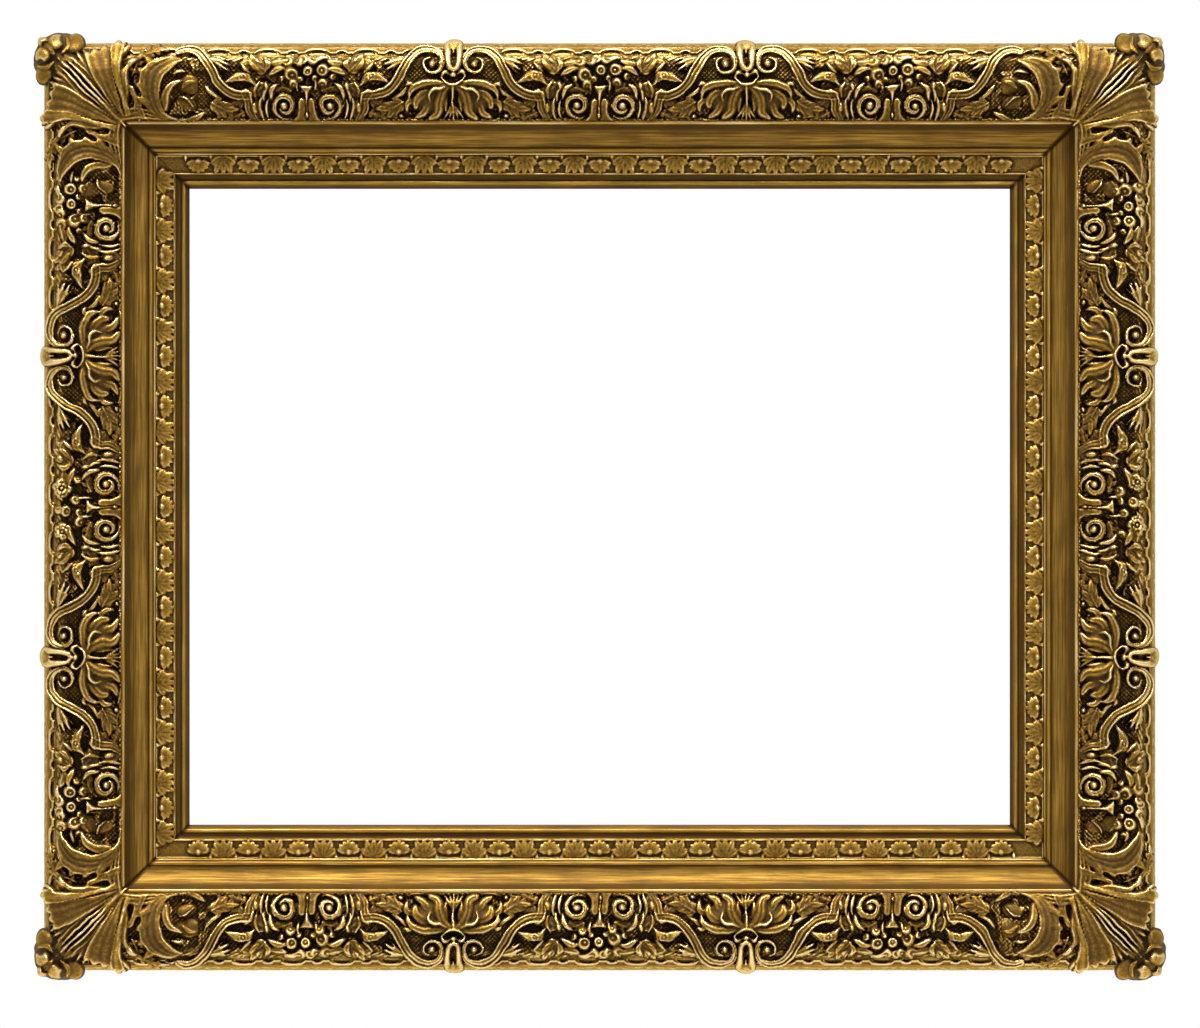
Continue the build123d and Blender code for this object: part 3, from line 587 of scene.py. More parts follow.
def lay_mesh(name, points, quads, lay, shading_and_wash, caps=()):
    """A mesh object from points in metres, with its texture place and its mask of painted shade and
    highlight kept on it.
    """
    loops = np.concatenate([quads.ravel(), *caps]).astype(np.int32)
    cap_starts = quads.size + np.cumsum([0] + [len(cap) for cap in caps])[:-1]
    starts = np.concatenate([np.arange(0, quads.size, 4), cap_starts])
    mesh = bpy.data.meshes.new(name)
    mesh.vertices.add(len(points))
    mesh.vertices.foreach_set("co", np.ascontiguousarray(points, np.float32).ravel())
    mesh.loops.add(len(loops))
    mesh.loops.foreach_set("vertex_index", loops)
    mesh.polygons.add(len(starts))
    mesh.polygons.foreach_set("loop_start", starts.astype(np.int32))
    mesh.update(calc_edges=True)
    mesh.validate()
    mesh.polygons.foreach_set("use_smooth", np.ones(len(mesh.polygons), bool))
    for label, kind, field, values in (("lay", "FLOAT_VECTOR", "vector", lay),
                                       ("shading_and_wash", "FLOAT", "value", shading_and_wash)):
        layer = mesh.attributes.new(label, kind, "POINT")
        layer.data.foreach_set(field, np.ascontiguousarray(values, np.float32).ravel())
    return linked(name, mesh)


def cell_corners(number):
    """The four corner numbers of each cell in a grid of numbered points."""
    return np.stack([number[:-1, :-1], number[1:, :-1], number[1:, 1:], number[:-1, 1:]], -1)


def shell(name, place, relief, top, bottom, keep, shading_and_wash):
    """A closed shell between two height fields over the kept part of a relief's grid."""
    nx, ny = top.shape
    kept = keep[:-1, :-1] & keep[1:, :-1] & keep[:-1, 1:] & keep[1:, 1:]
    # Two cells that touch only at a corner get the cells between them, for a clean solid
    for _ in range(3):
        a, b, c, d = kept[:-1, :-1], kept[1:, :-1], kept[:-1, 1:], kept[1:, 1:]
        falling, rising = a & d & ~b & ~c, b & c & ~a & ~d
        kept[1:, :-1] |= falling
        kept[:-1, :-1] |= rising
    number = np.arange(nx * ny).reshape(nx, ny)
    corners = cell_corners(number)[kept]
    used = np.zeros(nx * ny, bool)
    used[corners.ravel()] = True
    index = np.cumsum(used) - 1
    count = int(used.sum())
    quads_top = index[corners]
    quads = [quads_top, quads_top[:, ::-1] + count]
    # Walls where a kept cell has no neighbour
    padded = np.pad(kept, 1)
    where = np.argwhere(kept)
    for dx, dy, a, b in ((-1, 0, 0, 3), (1, 0, 2, 1), (0, -1, 1, 0), (0, 1, 3, 2)):
        bare = ~padded[where[:, 0] + 1 + dx, where[:, 1] + 1 + dy]
        edge = quads_top[bare]
        quads.append(np.stack([edge[:, a], edge[:, b], edge[:, b] + count, edge[:, a] + count], -1))
    # Points just past the outline are drawn back onto it, which leaves no steps in the edge
    slope_x, slope_y = np.gradient(np.clip(relief.inside, -2 * step, 2 * step), step)
    steep = np.maximum(slope_x**2 + slope_y**2, 0.2)
    back = np.clip(-relief.inside, 0, 1.3 * step)
    gx, gy = relief.grid()
    gx, gy = gx + back * slope_x / steep, gy + back * slope_y / steep
    gx, gy = gx.ravel()[used], gy.ravel()[used]
    flat_x, flat_y = np.tile(gx, 2), np.tile(gy, 2)
    z = np.concatenate([top.ravel()[used], bottom.ravel()[used]])
    points = placed(place, flat_x, flat_y, z)
    lay = np.stack([flat_x, flat_y, z], -1)
    # Painted shade mask: the relief's own on the top, painted shade on the underside
    dark = np.concatenate([shading_and_wash.ravel()[used], np.full(count, underside_shade)])
    piece = lay_mesh(name, points, np.concatenate(quads), lay, dark)
    if place in MIRRORED:
        piece.data.flip_normals()
    return piece


def swept(place, half, section, stations, wobble):
    """A closed section along a rail, mitred at both ends. section is a list of (y, z)."""
    section = np.asarray(section, float)
    n, m = len(stations), len(section)
    y, z = section[:, 0], section[:, 1]
    share = stations[:, None] / half
    x = share * (half - y[None, :])
    yy, zz = np.broadcast_to(y, (n, m)), np.broadcast_to(z, (n, m))
    yy, zz = wobble(x, yy, zz)
    points = placed(place, x, yy, zz).reshape(-1, 3)
    number = np.arange(n * m).reshape(n, m)
    around = np.roll(number, -1, axis=1)
    quads = np.stack([number[:-1], around[:-1], around[1:], number[1:]], -1).reshape(-1, 4)
    lay = np.stack([x, yy, zz], -1).reshape(-1, 3)
    return points, quads, lay, (number[0][::-1], number[-1])


def section_points(runs, pitch=0.6):
    """Points along a section given as straight runs and (start, middle, end) arcs."""
    points = []
    for run in runs:
        run = np.asarray(run, float)
        if len(run) == 3:
            (x1, y1), (x2, y2), (x3, y3) = run
            d = 2 * (x1 * (y2 - y3) + x2 * (y3 - y1) + x3 * (y1 - y2))
            a, b, c = x1 * x1 + y1 * y1, x2 * x2 + y2 * y2, x3 * x3 + y3 * y3
            cx = (a * (y2 - y3) + b * (y3 - y1) + c * (y1 - y2)) / d
            cy = (a * (x3 - x2) + b * (x1 - x3) + c * (x2 - x1)) / d
            angles = np.unwrap([math.atan2(py - cy, px - cx) for px, py in run])
            r = math.hypot(x1 - cx, y1 - cy)
            count = max(6, int(r * abs(angles[-1] - angles[0]) / pitch))
            turn = np.interp(np.linspace(0, 2, count), [0, 1, 2], angles)
            points += [(cx + r * math.cos(t), cy + r * math.sin(t)) for t in turn]
        else:
            count = max(2, int(np.hypot(*(run[1] - run[0])) / pitch))
            points += [tuple(run[0] + (run[1] - run[0]) * k / count) for k in range(count)]
            points.append(tuple(run[1]))
    kept = [points[0]]
    for point in points[1:]:
        if math.hypot(point[0] - kept[-1][0], point[1] - kept[-1][1]) > 0.02:
            kept.append(point)
    return kept


def cavity_of(total, low=0.6):
    """How deep each point lies among its neighbours: 0 on the heights, 1 in the recesses. It is the colour
    mask of painted highlight and painted shade.
    """
    near = blurred(total, 0.8 / step) - total
    wide = blurred(total, 2.8 / step) - total
    # Painted shade on the low ground and painted highlight on the tall parts
    sunk = ease((low - total) / 3.2) - 1.3 * ease((total - 6.5) / 2.5)
    return np.clip(0.46 + 0.32 * np.tanh(near / 0.45) + 0.15 * np.tanh(wide / 2.6) + 0.06 * sunk, 0, 1)


def scoop(y):
    """How far the carved ground lies below the planed one, between its two edges."""
    return scoop_deep * ease((y - scoop_start) / 7.0) * ease((ground_end - y) / 2.5)


def crested(top):
    """Heights near the frame's highest point, pressed down gently under it."""
    return np.where(top > crest, crest + crest_room * np.tanh((top - crest) / crest_room), top)


def slot_and_ride(piece, node, materials):
    """Puts a piece on the frame in place of its node, which it hides, with its materials."""
    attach(piece, "frame")
    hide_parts(node)
    for material in materials:
        piece.data.materials.append(material)


# Materials

def nodes_of(name):
    material = bpy.data.materials.new(name)
    material.use_nodes = True
    tree = material.node_tree
    shader = tree.nodes["Principled BSDF"]
    return material, tree, shader


def add(tree, kind, **values):
    node = tree.nodes.new(kind)
    for key, value in values.items():
        if key.startswith("in_"):
            node.inputs[key[3:].replace("_", " ")].default_value = value
        else:
            setattr(node, key, value)
    return node


def ramp(tree, source, stops):
    node = tree.nodes.new("ShaderNodeValToRGB")
    elements = node.color_ramp.elements
    while len(elements) < len(stops):
        elements.new(0.5)
    for element, (place, colour) in zip(elements, stops):
        element.position = place
        element.color = (*colour, 1.0) if isinstance(colour, tuple) else (colour, colour, colour, 1.0)
    tree.links.new(source, node.inputs["Fac"])
    return node.outputs["Color"]


def noise_at(tree, vector, scale, detail):
    grain = add(tree, "ShaderNodeTexNoise", in_Scale=scale, in_Detail=detail)
    tree.links.new(vector, grain.inputs["Vector"])
    return grain.outputs["Fac"]


def lay_noise(tree, stretch, scale, detail):
    """Noise in the rail's own directions, stretched along it."""
    lay = add(tree, "ShaderNodeAttribute", attribute_name="lay")
    place = add(tree, "ShaderNodeMapping", in_Scale=stretch)
    tree.links.new(lay.outputs["Vector"], place.inputs["Vector"])
    return noise_at(tree, place.outputs["Vector"], scale, detail)


def feed(tree, sockets, values):
    """Links each value to its input, or sets it there if it is a number or a colour."""
    for socket, value in zip(sockets, values):
        if isinstance(value, bpy.types.NodeSocket):
            tree.links.new(value, socket)
        else:
            socket.default_value = (*value, 1.0) if isinstance(value, tuple) else value


def mixed(tree, fac, a, b, blend="MIX"):
    node = add(tree, "ShaderNodeMix", data_type="RGBA", blend_type=blend)
    feed(tree, (node.inputs[0], node.inputs[6], node.inputs[7]), (fac, a, b))
    return node.outputs[2]


def math_node(tree, kind, *values):
    node = add(tree, "ShaderNodeMath", operation=kind)
    feed(tree, node.inputs, values)
    return node.outputs[0]


def seen_rays(tree):
    """1 for rays from the camera and for mirrored ones, 0 for those that light a surface."""
    path = add(tree, "ShaderNodeLightPath")
    seen = math_node(tree, "MAXIMUM", path.outputs["Is Camera Ray"], path.outputs["Is Transmission Ray"])
    return math_node(tree, "MAXIMUM", seen, path.outputs["Is Glossy Ray"])


def surface(tree, shader, colour, rough, height, strength, distance):
    """Links a colour, a roughness and small bumps to a shader."""
    lift = add(tree, "ShaderNodeBump", in_Strength=strength, in_Distance=distance)
    feed(tree, (shader.inputs["Base Color"], shader.inputs["Roughness"], lift.inputs["Height"],
                shader.inputs["Normal"]), (colour, rough, height, lift.outputs["Normal"]))


# Gilt colours: the first is the painted highlight for the heights, the last two are painted shade for the
# recesses
HIGHLIGHT_GOLD, GOLD, OLIVE = (0.66, 0.52, 0.25), (0.29, 0.168, 0.030), (0.095, 0.050, 0.008)
UMBER, SHADE_BLACK, BOLE = (0.026, 0.012, 0.003), (0.003, 0.002, 0.001), (0.12, 0.038, 0.010)


def gilt(name, depth_gain=1.0, streak=(1, 1, 1), tint=0.0, bump=0.4, grime=0.34):
    """Aged gilding, rubbed and toned: a painted highlight on the heights, and in the recesses painted shade
    over a dark wash.
    """
    material, tree, shader = nodes_of(name)
    shading_and_wash = add(tree, "ShaderNodeAttribute", attribute_name="shading_and_wash").outputs["Fac"]
    patch = lay_noise(tree, (0.05, 0.05, 0.05), 1.4, 3.0)
    grain = lay_noise(tree, streak, 0.9, 6.0)
    fine = lay_noise(tree, (1, 1, 1), 3.2, 3.0)
    depth = math_node(tree, "MULTIPLY", shading_and_wash, depth_gain)
    soft = math_node(tree, "MULTIPLY_ADD", grain, grime, -grime / 2)
    depth = math_node(tree, "ADD", depth, soft)
    # The mask paints highlight where it is low and shade where it is high, over a real dark wash in the
    # recesses
    colour = ramp(tree, depth, [(0.04, HIGHLIGHT_GOLD), (0.20, GOLD), (0.40, OLIVE), (0.61, UMBER),
                                (0.78, SHADE_BLACK)])
    toned = mixed(tree, ramp(tree, patch, [(0.40, 0.0), (0.70, 0.55 + tint)]), colour, OLIVE, "MULTIPLY")
    toned = mixed(tree, 0.35, colour, toned)
    rubbed = mixed(tree, ramp(tree, fine, [(0.62, 0.0), (0.75, 0.35)]), toned, BOLE)
    shader.inputs["Specular Tint"].default_value = (1.0, 0.74, 0.40, 1.0)
    tree.links.new(ramp(tree, depth, [(0.25, 1.0), (0.70, 0.2)]), shader.inputs["Metallic"])
    rough = mixed(tree, ramp(tree, depth, [(0.1, 0.0), (0.7, 1.0)]), (0.24, 0.24, 0.24), (0.72, 0.72, 0.72))
    rough = mixed(tree, ramp(tree, fine, [(0.35, 0.0), (0.75, 0.6)]), rough, (0.6, 0.6, 0.6))
    surface(tree, shader, rubbed, rough, fine, bump, 0.0004)
    return material


def bare_wood(name, dark=1.0, turn=None):
    """Old pine on the back: brown with age, with grain and dirt. Grain runs along the rail, or with
    turn along a key that lies across a corner."""
    material, tree, shader = nodes_of(name)
    if turn is None:
        grain = lay_noise(tree, (0.012, 0.9, 0.9), 1.6, 8.0)
        dirt = lay_noise(tree, (0.02, 0.03, 0.03), 1.5, 5.0)
    else:
        turned = add(tree, "ShaderNodeMapping", vector_type="TEXTURE", in_Rotation=(0, turn, 0),
                     in_Scale=(0.08, 0.001, 0.001))
        tree.links.new(add(tree, "ShaderNodeTexCoord").outputs["Object"], turned.inputs["Vector"])
        grain, dirt = [noise_at(tree, turned.outputs["Vector"], scale, 6.0) for scale in (1.6, 0.2)]
    tones = ((0.30, (0.10, 0.055, 0.026)), (0.52, (0.26, 0.155, 0.080)), (0.72, (0.36, 0.235, 0.130)))
    wood = ramp(tree, grain, [(at, tuple(part * dark for part in tone)) for at, tone in tones])
    colour = mixed(tree, ramp(tree, dirt, [(0.45, 0.0), (0.75, 0.6)]), wood, (0.07, 0.042, 0.022))
    surface(tree, shader, colour, ramp(tree, grain, [(0.3, 0.85), (0.7, 0.68)]), grain, 0.3, 0.0005)
    return material


def old_metal(name, bright, dull, rust, metallic=0.9):
    """Tarnished metal with spots, on the hidden hardware."""
    material, tree, shader = nodes_of(name)
    place = add(tree, "ShaderNodeTexCoord").outputs["Object"]
    spots, film = noise_at(tree, place, 420.0, 6.0), noise_at(tree, place, 90.0, 3.0)
    base = mixed(tree, ramp(tree, film, [(0.35, 0.0), (0.65, 1.0)]), bright, dull)
    base = mixed(tree, ramp(tree, spots, [(0.56, 0.0), (0.68, 0.8)]), base, rust)
    rough = ramp(tree, spots, [(0.3, 0.32), (0.7, 0.62)])
    shader.inputs["Metallic"].default_value = metallic
    surface(tree, shader, base, rough, spots, 0.2, 0.0002)
    return material


carved = gilt("carved_gilt")
ground_gilt = gilt("ground_gilt", depth_gain=1.1)
smooth_gilt = gilt("moulding_gilt", 0.86, streak=(0.035, 1.0, 1.0), tint=0.2, bump=0.35, grime=0.5)
wood = bare_wood("old_wood")
falling_key = bare_wood("falling_key_wood", 0.8, math.pi / 4)
rising_key = bare_wood("rising_key_wood", 0.8, -math.pi / 4)
brass = old_metal("old_brass", (0.55, 0.40, 0.16), (0.26, 0.18, 0.08), (0.10, 0.06, 0.03))
steel = old_metal("old_steel", (0.34, 0.32, 0.30), (0.16, 0.14, 0.12), (0.13, 0.055, 0.025), 0.8)


# Rail by rail

def diaper(x, y):
    """The ground between the ornaments: a pressed lattice of small lozenges."""
    pitch = 2.5
    a = np.sin(math.pi * (x + y) / pitch)
    b = np.sin(math.pi * (x - y) / pitch)
    return 1.3 * np.abs(a * b) ** 0.8


hem_pitch, hem_shift, tip_pitch = 26.5, 6.5, 3.7


def to_lunettes(x):
    """Distances along the rail from the nearest large lunette and the nearest small one."""
    large = np.abs(((x + hem_shift) / hem_pitch + 0.5) % 1 - 0.5) * hem_pitch
    return large, hem_pitch / 2 - large


def lunette(x, y):
    """1 in the dark half rounds under the outer edge, 0 elsewhere."""
    large, small = to_lunettes(x)
    eye = np.minimum(np.hypot(large / 4.2, (7.2 - y) / 2.0), np.hypot(small / 1.6, (7.0 - y) / 1.3))
    return ease((1.15 - eye) / 0.3) * ease((7.6 - y) / 0.5)


def lambrequin(x, y):
    """The pressed hem along the outer edge: a raised line that arches over lunettes."""
    large, small = to_lunettes(x)
    arch = np.maximum(2.2 * dome(large / 6.5), 1.3 * dome(small / 2.9))
    line = 1.9 * bump(y - 6.4 + arch, 0.7)
    sprig = 0.6 * np.abs(np.sin(math.pi * x / 4.4 + 2.2 * np.sin(y * 0.9))) ** 2 * ease((y - 7.6) / 1.0)
    return np.maximum(line, sprig) - 3.0 * lunette(x, y)


def clasps_of(side):
    """Places of a rail's two clasps along it."""
    at = clasp_at if HALF[side] == half_wide else clasp_side
    return -at, at


def rail_reliefs(side):
    long_rail = HALF[side] == half_wide
    reach = HALF[side] - rail_clear
    layers = {name: Relief((-reach, reach), (rail_out, rail_in))
              for name in ("scrolls", "flowers", "brackets", "clasps")}
    scrolls, flowers, brackets, clasps = layers.values()
    for at in (-bay_long, 0, bay_long) if long_rail else (0,):
        bay_scrolls(scrolls, at, (-1, 1))
        bay_flowers(flowers, at, (-1, 1), roses=not long_rail)
    for at in clasps_of(side):
        clasp(clasps, at)
        for hand in (-1, 1):
            bracket(brackets, at, hand, hook=True)
    for hand in (-1, 1):
        if long_rail:
            bracket(brackets, -hand * end_long, hand, hook=False)
        else:
            bay_scrolls(scrolls, -hand * bay_side, (hand,))
            bay_flowers(flowers, -hand * bay_side, (hand,))
    return layers


def bent(field, dx, dy):
    """A grid's values read a little to one side, by dx and dy cells."""
    n, m = field.shape
    i, j = np.meshgrid(np.arange(n), np.arange(m), indexing="ij")
    i, j = np.clip(i + dx, 0, n - 1.001), np.clip(j + dy, 0, m - 1.001)
    a, b = i.astype(int), j.astype(int)
    return between(field, a, a + 1, b, b + 1, i - a, j - b)


def finish_relief(relief, seed, stray=0.5):
    """Bends a relief as hand work is, softens it as a worn casting is, and roughens it a little."""
    x, y = relief.grid()
    if stray:
        base = seed // 10 * 10
        dx, dy = [(stray * noise(x, y, 8.0, base + 7 + k)
                   + 0.4 * stray * noise(x, y, 3.3, base + 5 + k)) / step for k in (0, 1)]
        relief.h, relief.inside = bent(relief.h, dx, dy), bent(relief.inside, dx, dy)
    soft = blurred(relief.h, 0.5 / step) if step < 0.6 else relief.h
    relief.h = np.where(relief.inside > 0.6, 0.6 * relief.h + 0.4 * soft, relief.h)
    worn = 0.14 * noise(x, y, 1.7, seed) + 0.25 * noise(x, y, 5.0, seed + 1)
    relief.h = np.where(relief.h > 0.6, relief.h + worn, relief.h)
    return x, y


def low_foliage(x, y, seed):
    """Small creased leaves in low relief, of no set pattern, over the sunk ground."""
    bend_x, bend_y = 2.2 * noise(x, y, 6.0, seed), 2.2 * noise(x, y, 6.0, seed + 1)
    lump = ease(1.9 * noise(x + bend_x, y + bend_y, 4.4, seed + 2) + 0.35)
    crease = np.abs(np.sin(0.9 * (x + bend_y) + 2.4 * noise(x, y, 5.0, seed + 3)))
    return lump * (0.55 + 0.45 * crease**0.6)


def worn_ground(x, y, seed, clasps=()):
    """Height of the carved ground over the planed one, with its pressed pattern and wear."""
    pattern = diaper(x, y) * ease((y - 11.0) / 3.0) + lambrequin(x, y) * ease((14.5 - y) / 4.0)
    rough = 0.10 * noise(x, y, 2.3, seed + 2) + 0.5 * noise(x, y, 7.0, seed + 3) * ease((y - 8) / 4)
    foliage = low_foliage(x, y, seed + 4) * (1.1 + 2.3 * ease((y - 11.0) / 4.0))
    open_ground = ease((noise(x, y, 12.0, seed + 9) - 0.25) * 4)
    for at in clasps:
        # The pattern shows under the brackets' hooks
        away = np.hypot((np.abs(x - at) - 15.0) / 1.9, y - 17.5)
        open_ground = np.maximum(open_ground, ease((7.0 - away) / 2.0))
    foliage = foliage * (1 - 0.85 * open_ground)
    foliage = foliage * ease((y - 8.0) / 2) * ease((41.0 - y) / 2)
    # A row of small leaf tips along the fillet
    turn = math.pi * x / tip_pitch
    tips = 2.0 * np.abs(np.cos(turn)) ** 0.5 * ease((y - 39.2 - 1.2 * np.cos(2 * turn)) / 1.2)
    return pattern + rough + foliage + tips * (y > 38) - scoop(y)


def relief_piece(place, kind, relief, top, bottom, keep, shading_and_wash):
    """A relief in place of the CAD node of its side or corner."""
    piece = shell(f"{place}_{kind}_relief", place, relief, top, bottom, keep, shading_and_wash)
    slot_and_ride(piece, f"{place}_{kind}", [carved])


def ornament_piece(place, kind, relief, y, keep, low, shading_and_wash):
    """A relief on the carved ground. Past the outer edge its underside stays above low."""
    base = ground(y)
    over = ease((edge_wide + 1.0 - y) / 3.0)
    bottom = np.maximum(base - relief.sink - undercut, low * over)
    top = crested(np.maximum(base + relief.h, bottom + 0.1))
    relief_piece(place, kind, relief, top, bottom, keep & (relief.inside > -1.1 * step), shading_and_wash)


def build_reliefs(side, seed):
    half = HALF[side]
    layers = rail_reliefs(side)
    for k, relief in enumerate(layers.values()):
        x, y = finish_relief(relief, seed + k)
    floor = worn_ground(x, y, seed, clasps_of(side))
    total = np.maximum(floor, np.max([relief.h for relief in layers.values()], axis=0))
    # Painted shade in the bare lunettes, and lighter towards the outer edge
    lunette_shade = lunette(x, y) * (total < floor + 0.3)
    shading_and_wash = np.clip(cavity_of(total) - 0.18 * ease((14.0 - y) / 5) + 0.5 * lunette_shade, 0, 1)
    keep = (y <= ground_end + 0.6) & (np.abs(x) <= half - y + 0.2)
    for name, relief in layers.items():
        ornament_piece(side, name, relief, y, keep, clasp_low, shading_and_wash)
    return relief.x, relief.y, shading_and_wash


def build_ground(side, xs, ys, shading_and_wash, seed):
    """The carved ground as a skin over the rail, out to the mitres."""
    half = HALF[side]
    share = np.linspace(-1, 1, int(2 * half / step) + 1)
    y = np.linspace(edge_wide, ground_end, int((ground_end - edge_wide) / step) + 1)
    gy = np.broadcast_to(y[None, :], (len(share), len(y)))
    gx = share[:, None] * (half - gy)
    top = ground(gy) + worn_ground(gx, gy, seed, clasps_of(side))
    i = np.clip(np.searchsorted(xs, gx), 0, len(xs) - 1)
    j = np.clip(np.searchsorted(ys, gy), 0, len(ys) - 1)
    # The reliefs' painted shade and highlight carried onto the ground; past their grid it is painted nearly
    # dark
    deep = np.where(np.abs(gx) < xs[-1], shading_and_wash[i, j], 0.9)
    sheets = [np.stack([gx, gy, z], -1) for z in (top, ground(gy) - scoop(gy) - skin_deep)]
    lay, quads = closed_skin(*sheets)
    points = placed(side, *lay.T)
    return points, quads, lay, np.tile(deep.ravel(), 2)


def closed_skin(top, bottom):
    """Points and quads of a closed sheet between two grids of points."""
    n, m = top.shape[:2]
    number = np.arange(n * m).reshape(n, m)
    face = cell_corners(number).reshape(-1, 4)
    edges = ((number[1:, 0], number[:-1, 0]), (number[:-1, -1], number[1:, -1]),
             (number[0, :-1], number[0, 1:]), (number[-1, 1:], number[-1, :-1]))
    rims = [np.stack([a, b, b + n * m, a + n * m], -1) for a, b in edges]
    points = np.concatenate([top.reshape(-1, 3), bottom.reshape(-1, 3)])
    return points, np.concatenate([face, face[:, ::-1] + n * m, *rims])


def section_cavity(section):
    """Painted shade along the inner angles of a moulding, painted highlight on its edges, and a little
    darker over the sight bead.
    """
    section = np.asarray(section)
    y, z = section[:, 0], section[:, 1]
    # Mean height of the face within a few millimetres, less the point's own
    pitch, near, wide = 0.2, 0.4, 2.2
    grid = np.arange(y.min(), y.max(), pitch)
    face = np.array([z[np.abs(y - g) < near].max(initial=0) for g in grid])
    mean = np.array([face[np.abs(grid - g) < wide].mean() for g in y])
    sight = 0.07 * ease((y - leaf_end) / 1.0)
    return np.clip(0.34 + sight + 0.20 * (mean - z), 0.20 + sight, 1)


def rail_section():
    fillet_high = ground_end_high + fillet_rise
    middle = ((fillet_end + cove_end) / 2 - cove_dip * diagonal,
              (ground_end_high + cove_foot_high) / 2 - cove_dip * diagonal)
    bead = (rail_face - bead_rise, cove_foot_high + bead_rise)
    inwards = np.linspace(ground_end, edge_wide, 40)
    under = ground(inwards) - scoop(inwards) - skin_under
    runs = [
        [(0.15, foot_high), (0.0, foot_high - 0.15)],
        [(0.0, foot_high - 0.15), (0.0, arris)],
        [(arris, key_proud), (seat_in - arris, key_proud)],
        [(seat_in, arris), (seat_in, lip_high)],
        [(seat_in, lip_high), (rail_face, lip_high)],
        [(rail_face, lip_high + 0.1), (rail_face, cove_foot_high)],
        [(rail_face, cove_foot_high), bead, (cove_end, cove_foot_high)],
        [(cove_end, cove_foot_high), middle, (fillet_end, ground_end_high)],
        [(fillet_end, ground_end_high), (fillet_end, fillet_high - 0.3)],
        [(fillet_end - 0.3, fillet_high), (ground_end + 0.3, fillet_high)],
        [(ground_end, fillet_high - 0.3), (ground_end, ground_end_high - 0.3)],
    ]
    points = section_points(runs)
    points += list(zip(inwards, under))
    points += section_points([[(edge_wide - 0.3, edge_high - skin_under), (0.15 + 1.2, foot_high)]], 2.0)
    return points


def slip_section():
    wall = seat_in + 0.3
    runs = [
        [(leaf_start, leaf_ground_high), (leaf_start, lip_high - 0.05)],
        [(leaf_start, lip_high - 0.05), (wall, lip_high - 0.05)],
        [(wall, lip_high - 0.05), (wall, slip_back)],
        [(wall + slip_arris, slip_back), (picture_wall - slip_arris, slip_back)],
        [(picture_wall, slip_back + slip_arris), (picture_wall, picture_seat_high)],
        [(picture_wall, picture_seat_high), (frame_face, picture_seat_high)],
        [(frame_face, picture_seat_high + slip_arris), (frame_face, sight_edge_high - slip_arris)],
        [(frame_face - slip_arris, sight_edge_high), (sight_bead_end, bead_foot_high)],
        [(sight_bead_end, bead_foot_high),
         ((sight_bead_end + hollow_end) / 2, bead_foot_high + sight_bead_rise),
         (hollow_end, bead_foot_high)],
        [(hollow_end, bead_foot_high),
         ((leaf_end + hollow_end) / 2, (bead_foot_high + hollow_high) / 2 - hollow_dip),
         (leaf_end, hollow_high)],
        [(leaf_end, hollow_high), (leaf_end, leaf_ground_high - 0.1)],
        [(leaf_end - 0.1, leaf_ground_high), (leaf_start + 0.05, leaf_ground_high)],
    ]
    return section_points(runs)


def hand_made(seed):
    """Small unevenness of an old gessoed moulding, along and across the face."""
    def wobble(x, y, z):
        front = ease((z - 17.0) / 6.0)
        swell = front * 0.12 * noise(x, y * 3, 22.0, seed)
        return y, z + swell + front * 0.05 * noise(x, y * 2, 4.0, seed + 1)
    return wobble


def paint_back(piece, back_high):
    """Bare wood behind, gilding on the face: a face takes the second slot where it is low."""
    mesh = piece.data
    centres = np.zeros(len(mesh.polygons) * 3, np.float32)
    mesh.polygons.foreach_get("center", centres)
    z = -centres.reshape(-1, 3)[:, 1] / MM
    mesh.polygons.foreach_set("material_index", (z < back_high).astype(np.int32))
    mesh.update()


def build_moulding(side, kind, section, seed, back_high, skin=None):
    half = HALF[side]
    stations = np.linspace(-half, half, int(2 * half / station_pitch) + 1)
    points, quads, lay, caps = swept(side, half, section, stations, hand_made(seed))
    # Painted shade in the moulding's inner angles and painted highlight on its edges; darker near the mitre
    # joints
    deep = np.tile(section_cavity(section), len(stations))
    mitre = ease(1 - (half - np.repeat(np.abs(stations), len(section))) / 2.0)
    deep = np.clip(deep + 0.30 * mitre, 0, 1)
    if skin:
        quads = np.concatenate([quads, skin[1] + len(points)])
        pairs = (points, skin[0]), (lay, skin[2]), (deep, skin[3])
        points, lay, deep = (np.concatenate(pair) for pair in pairs)
    piece = lay_mesh(f"{side}_{kind}_moulding", points, quads, lay, deep, caps)
    slot_and_ride(piece, f"{side}_{kind}", [smooth_gilt, wood])
    paint_back(piece, back_high)


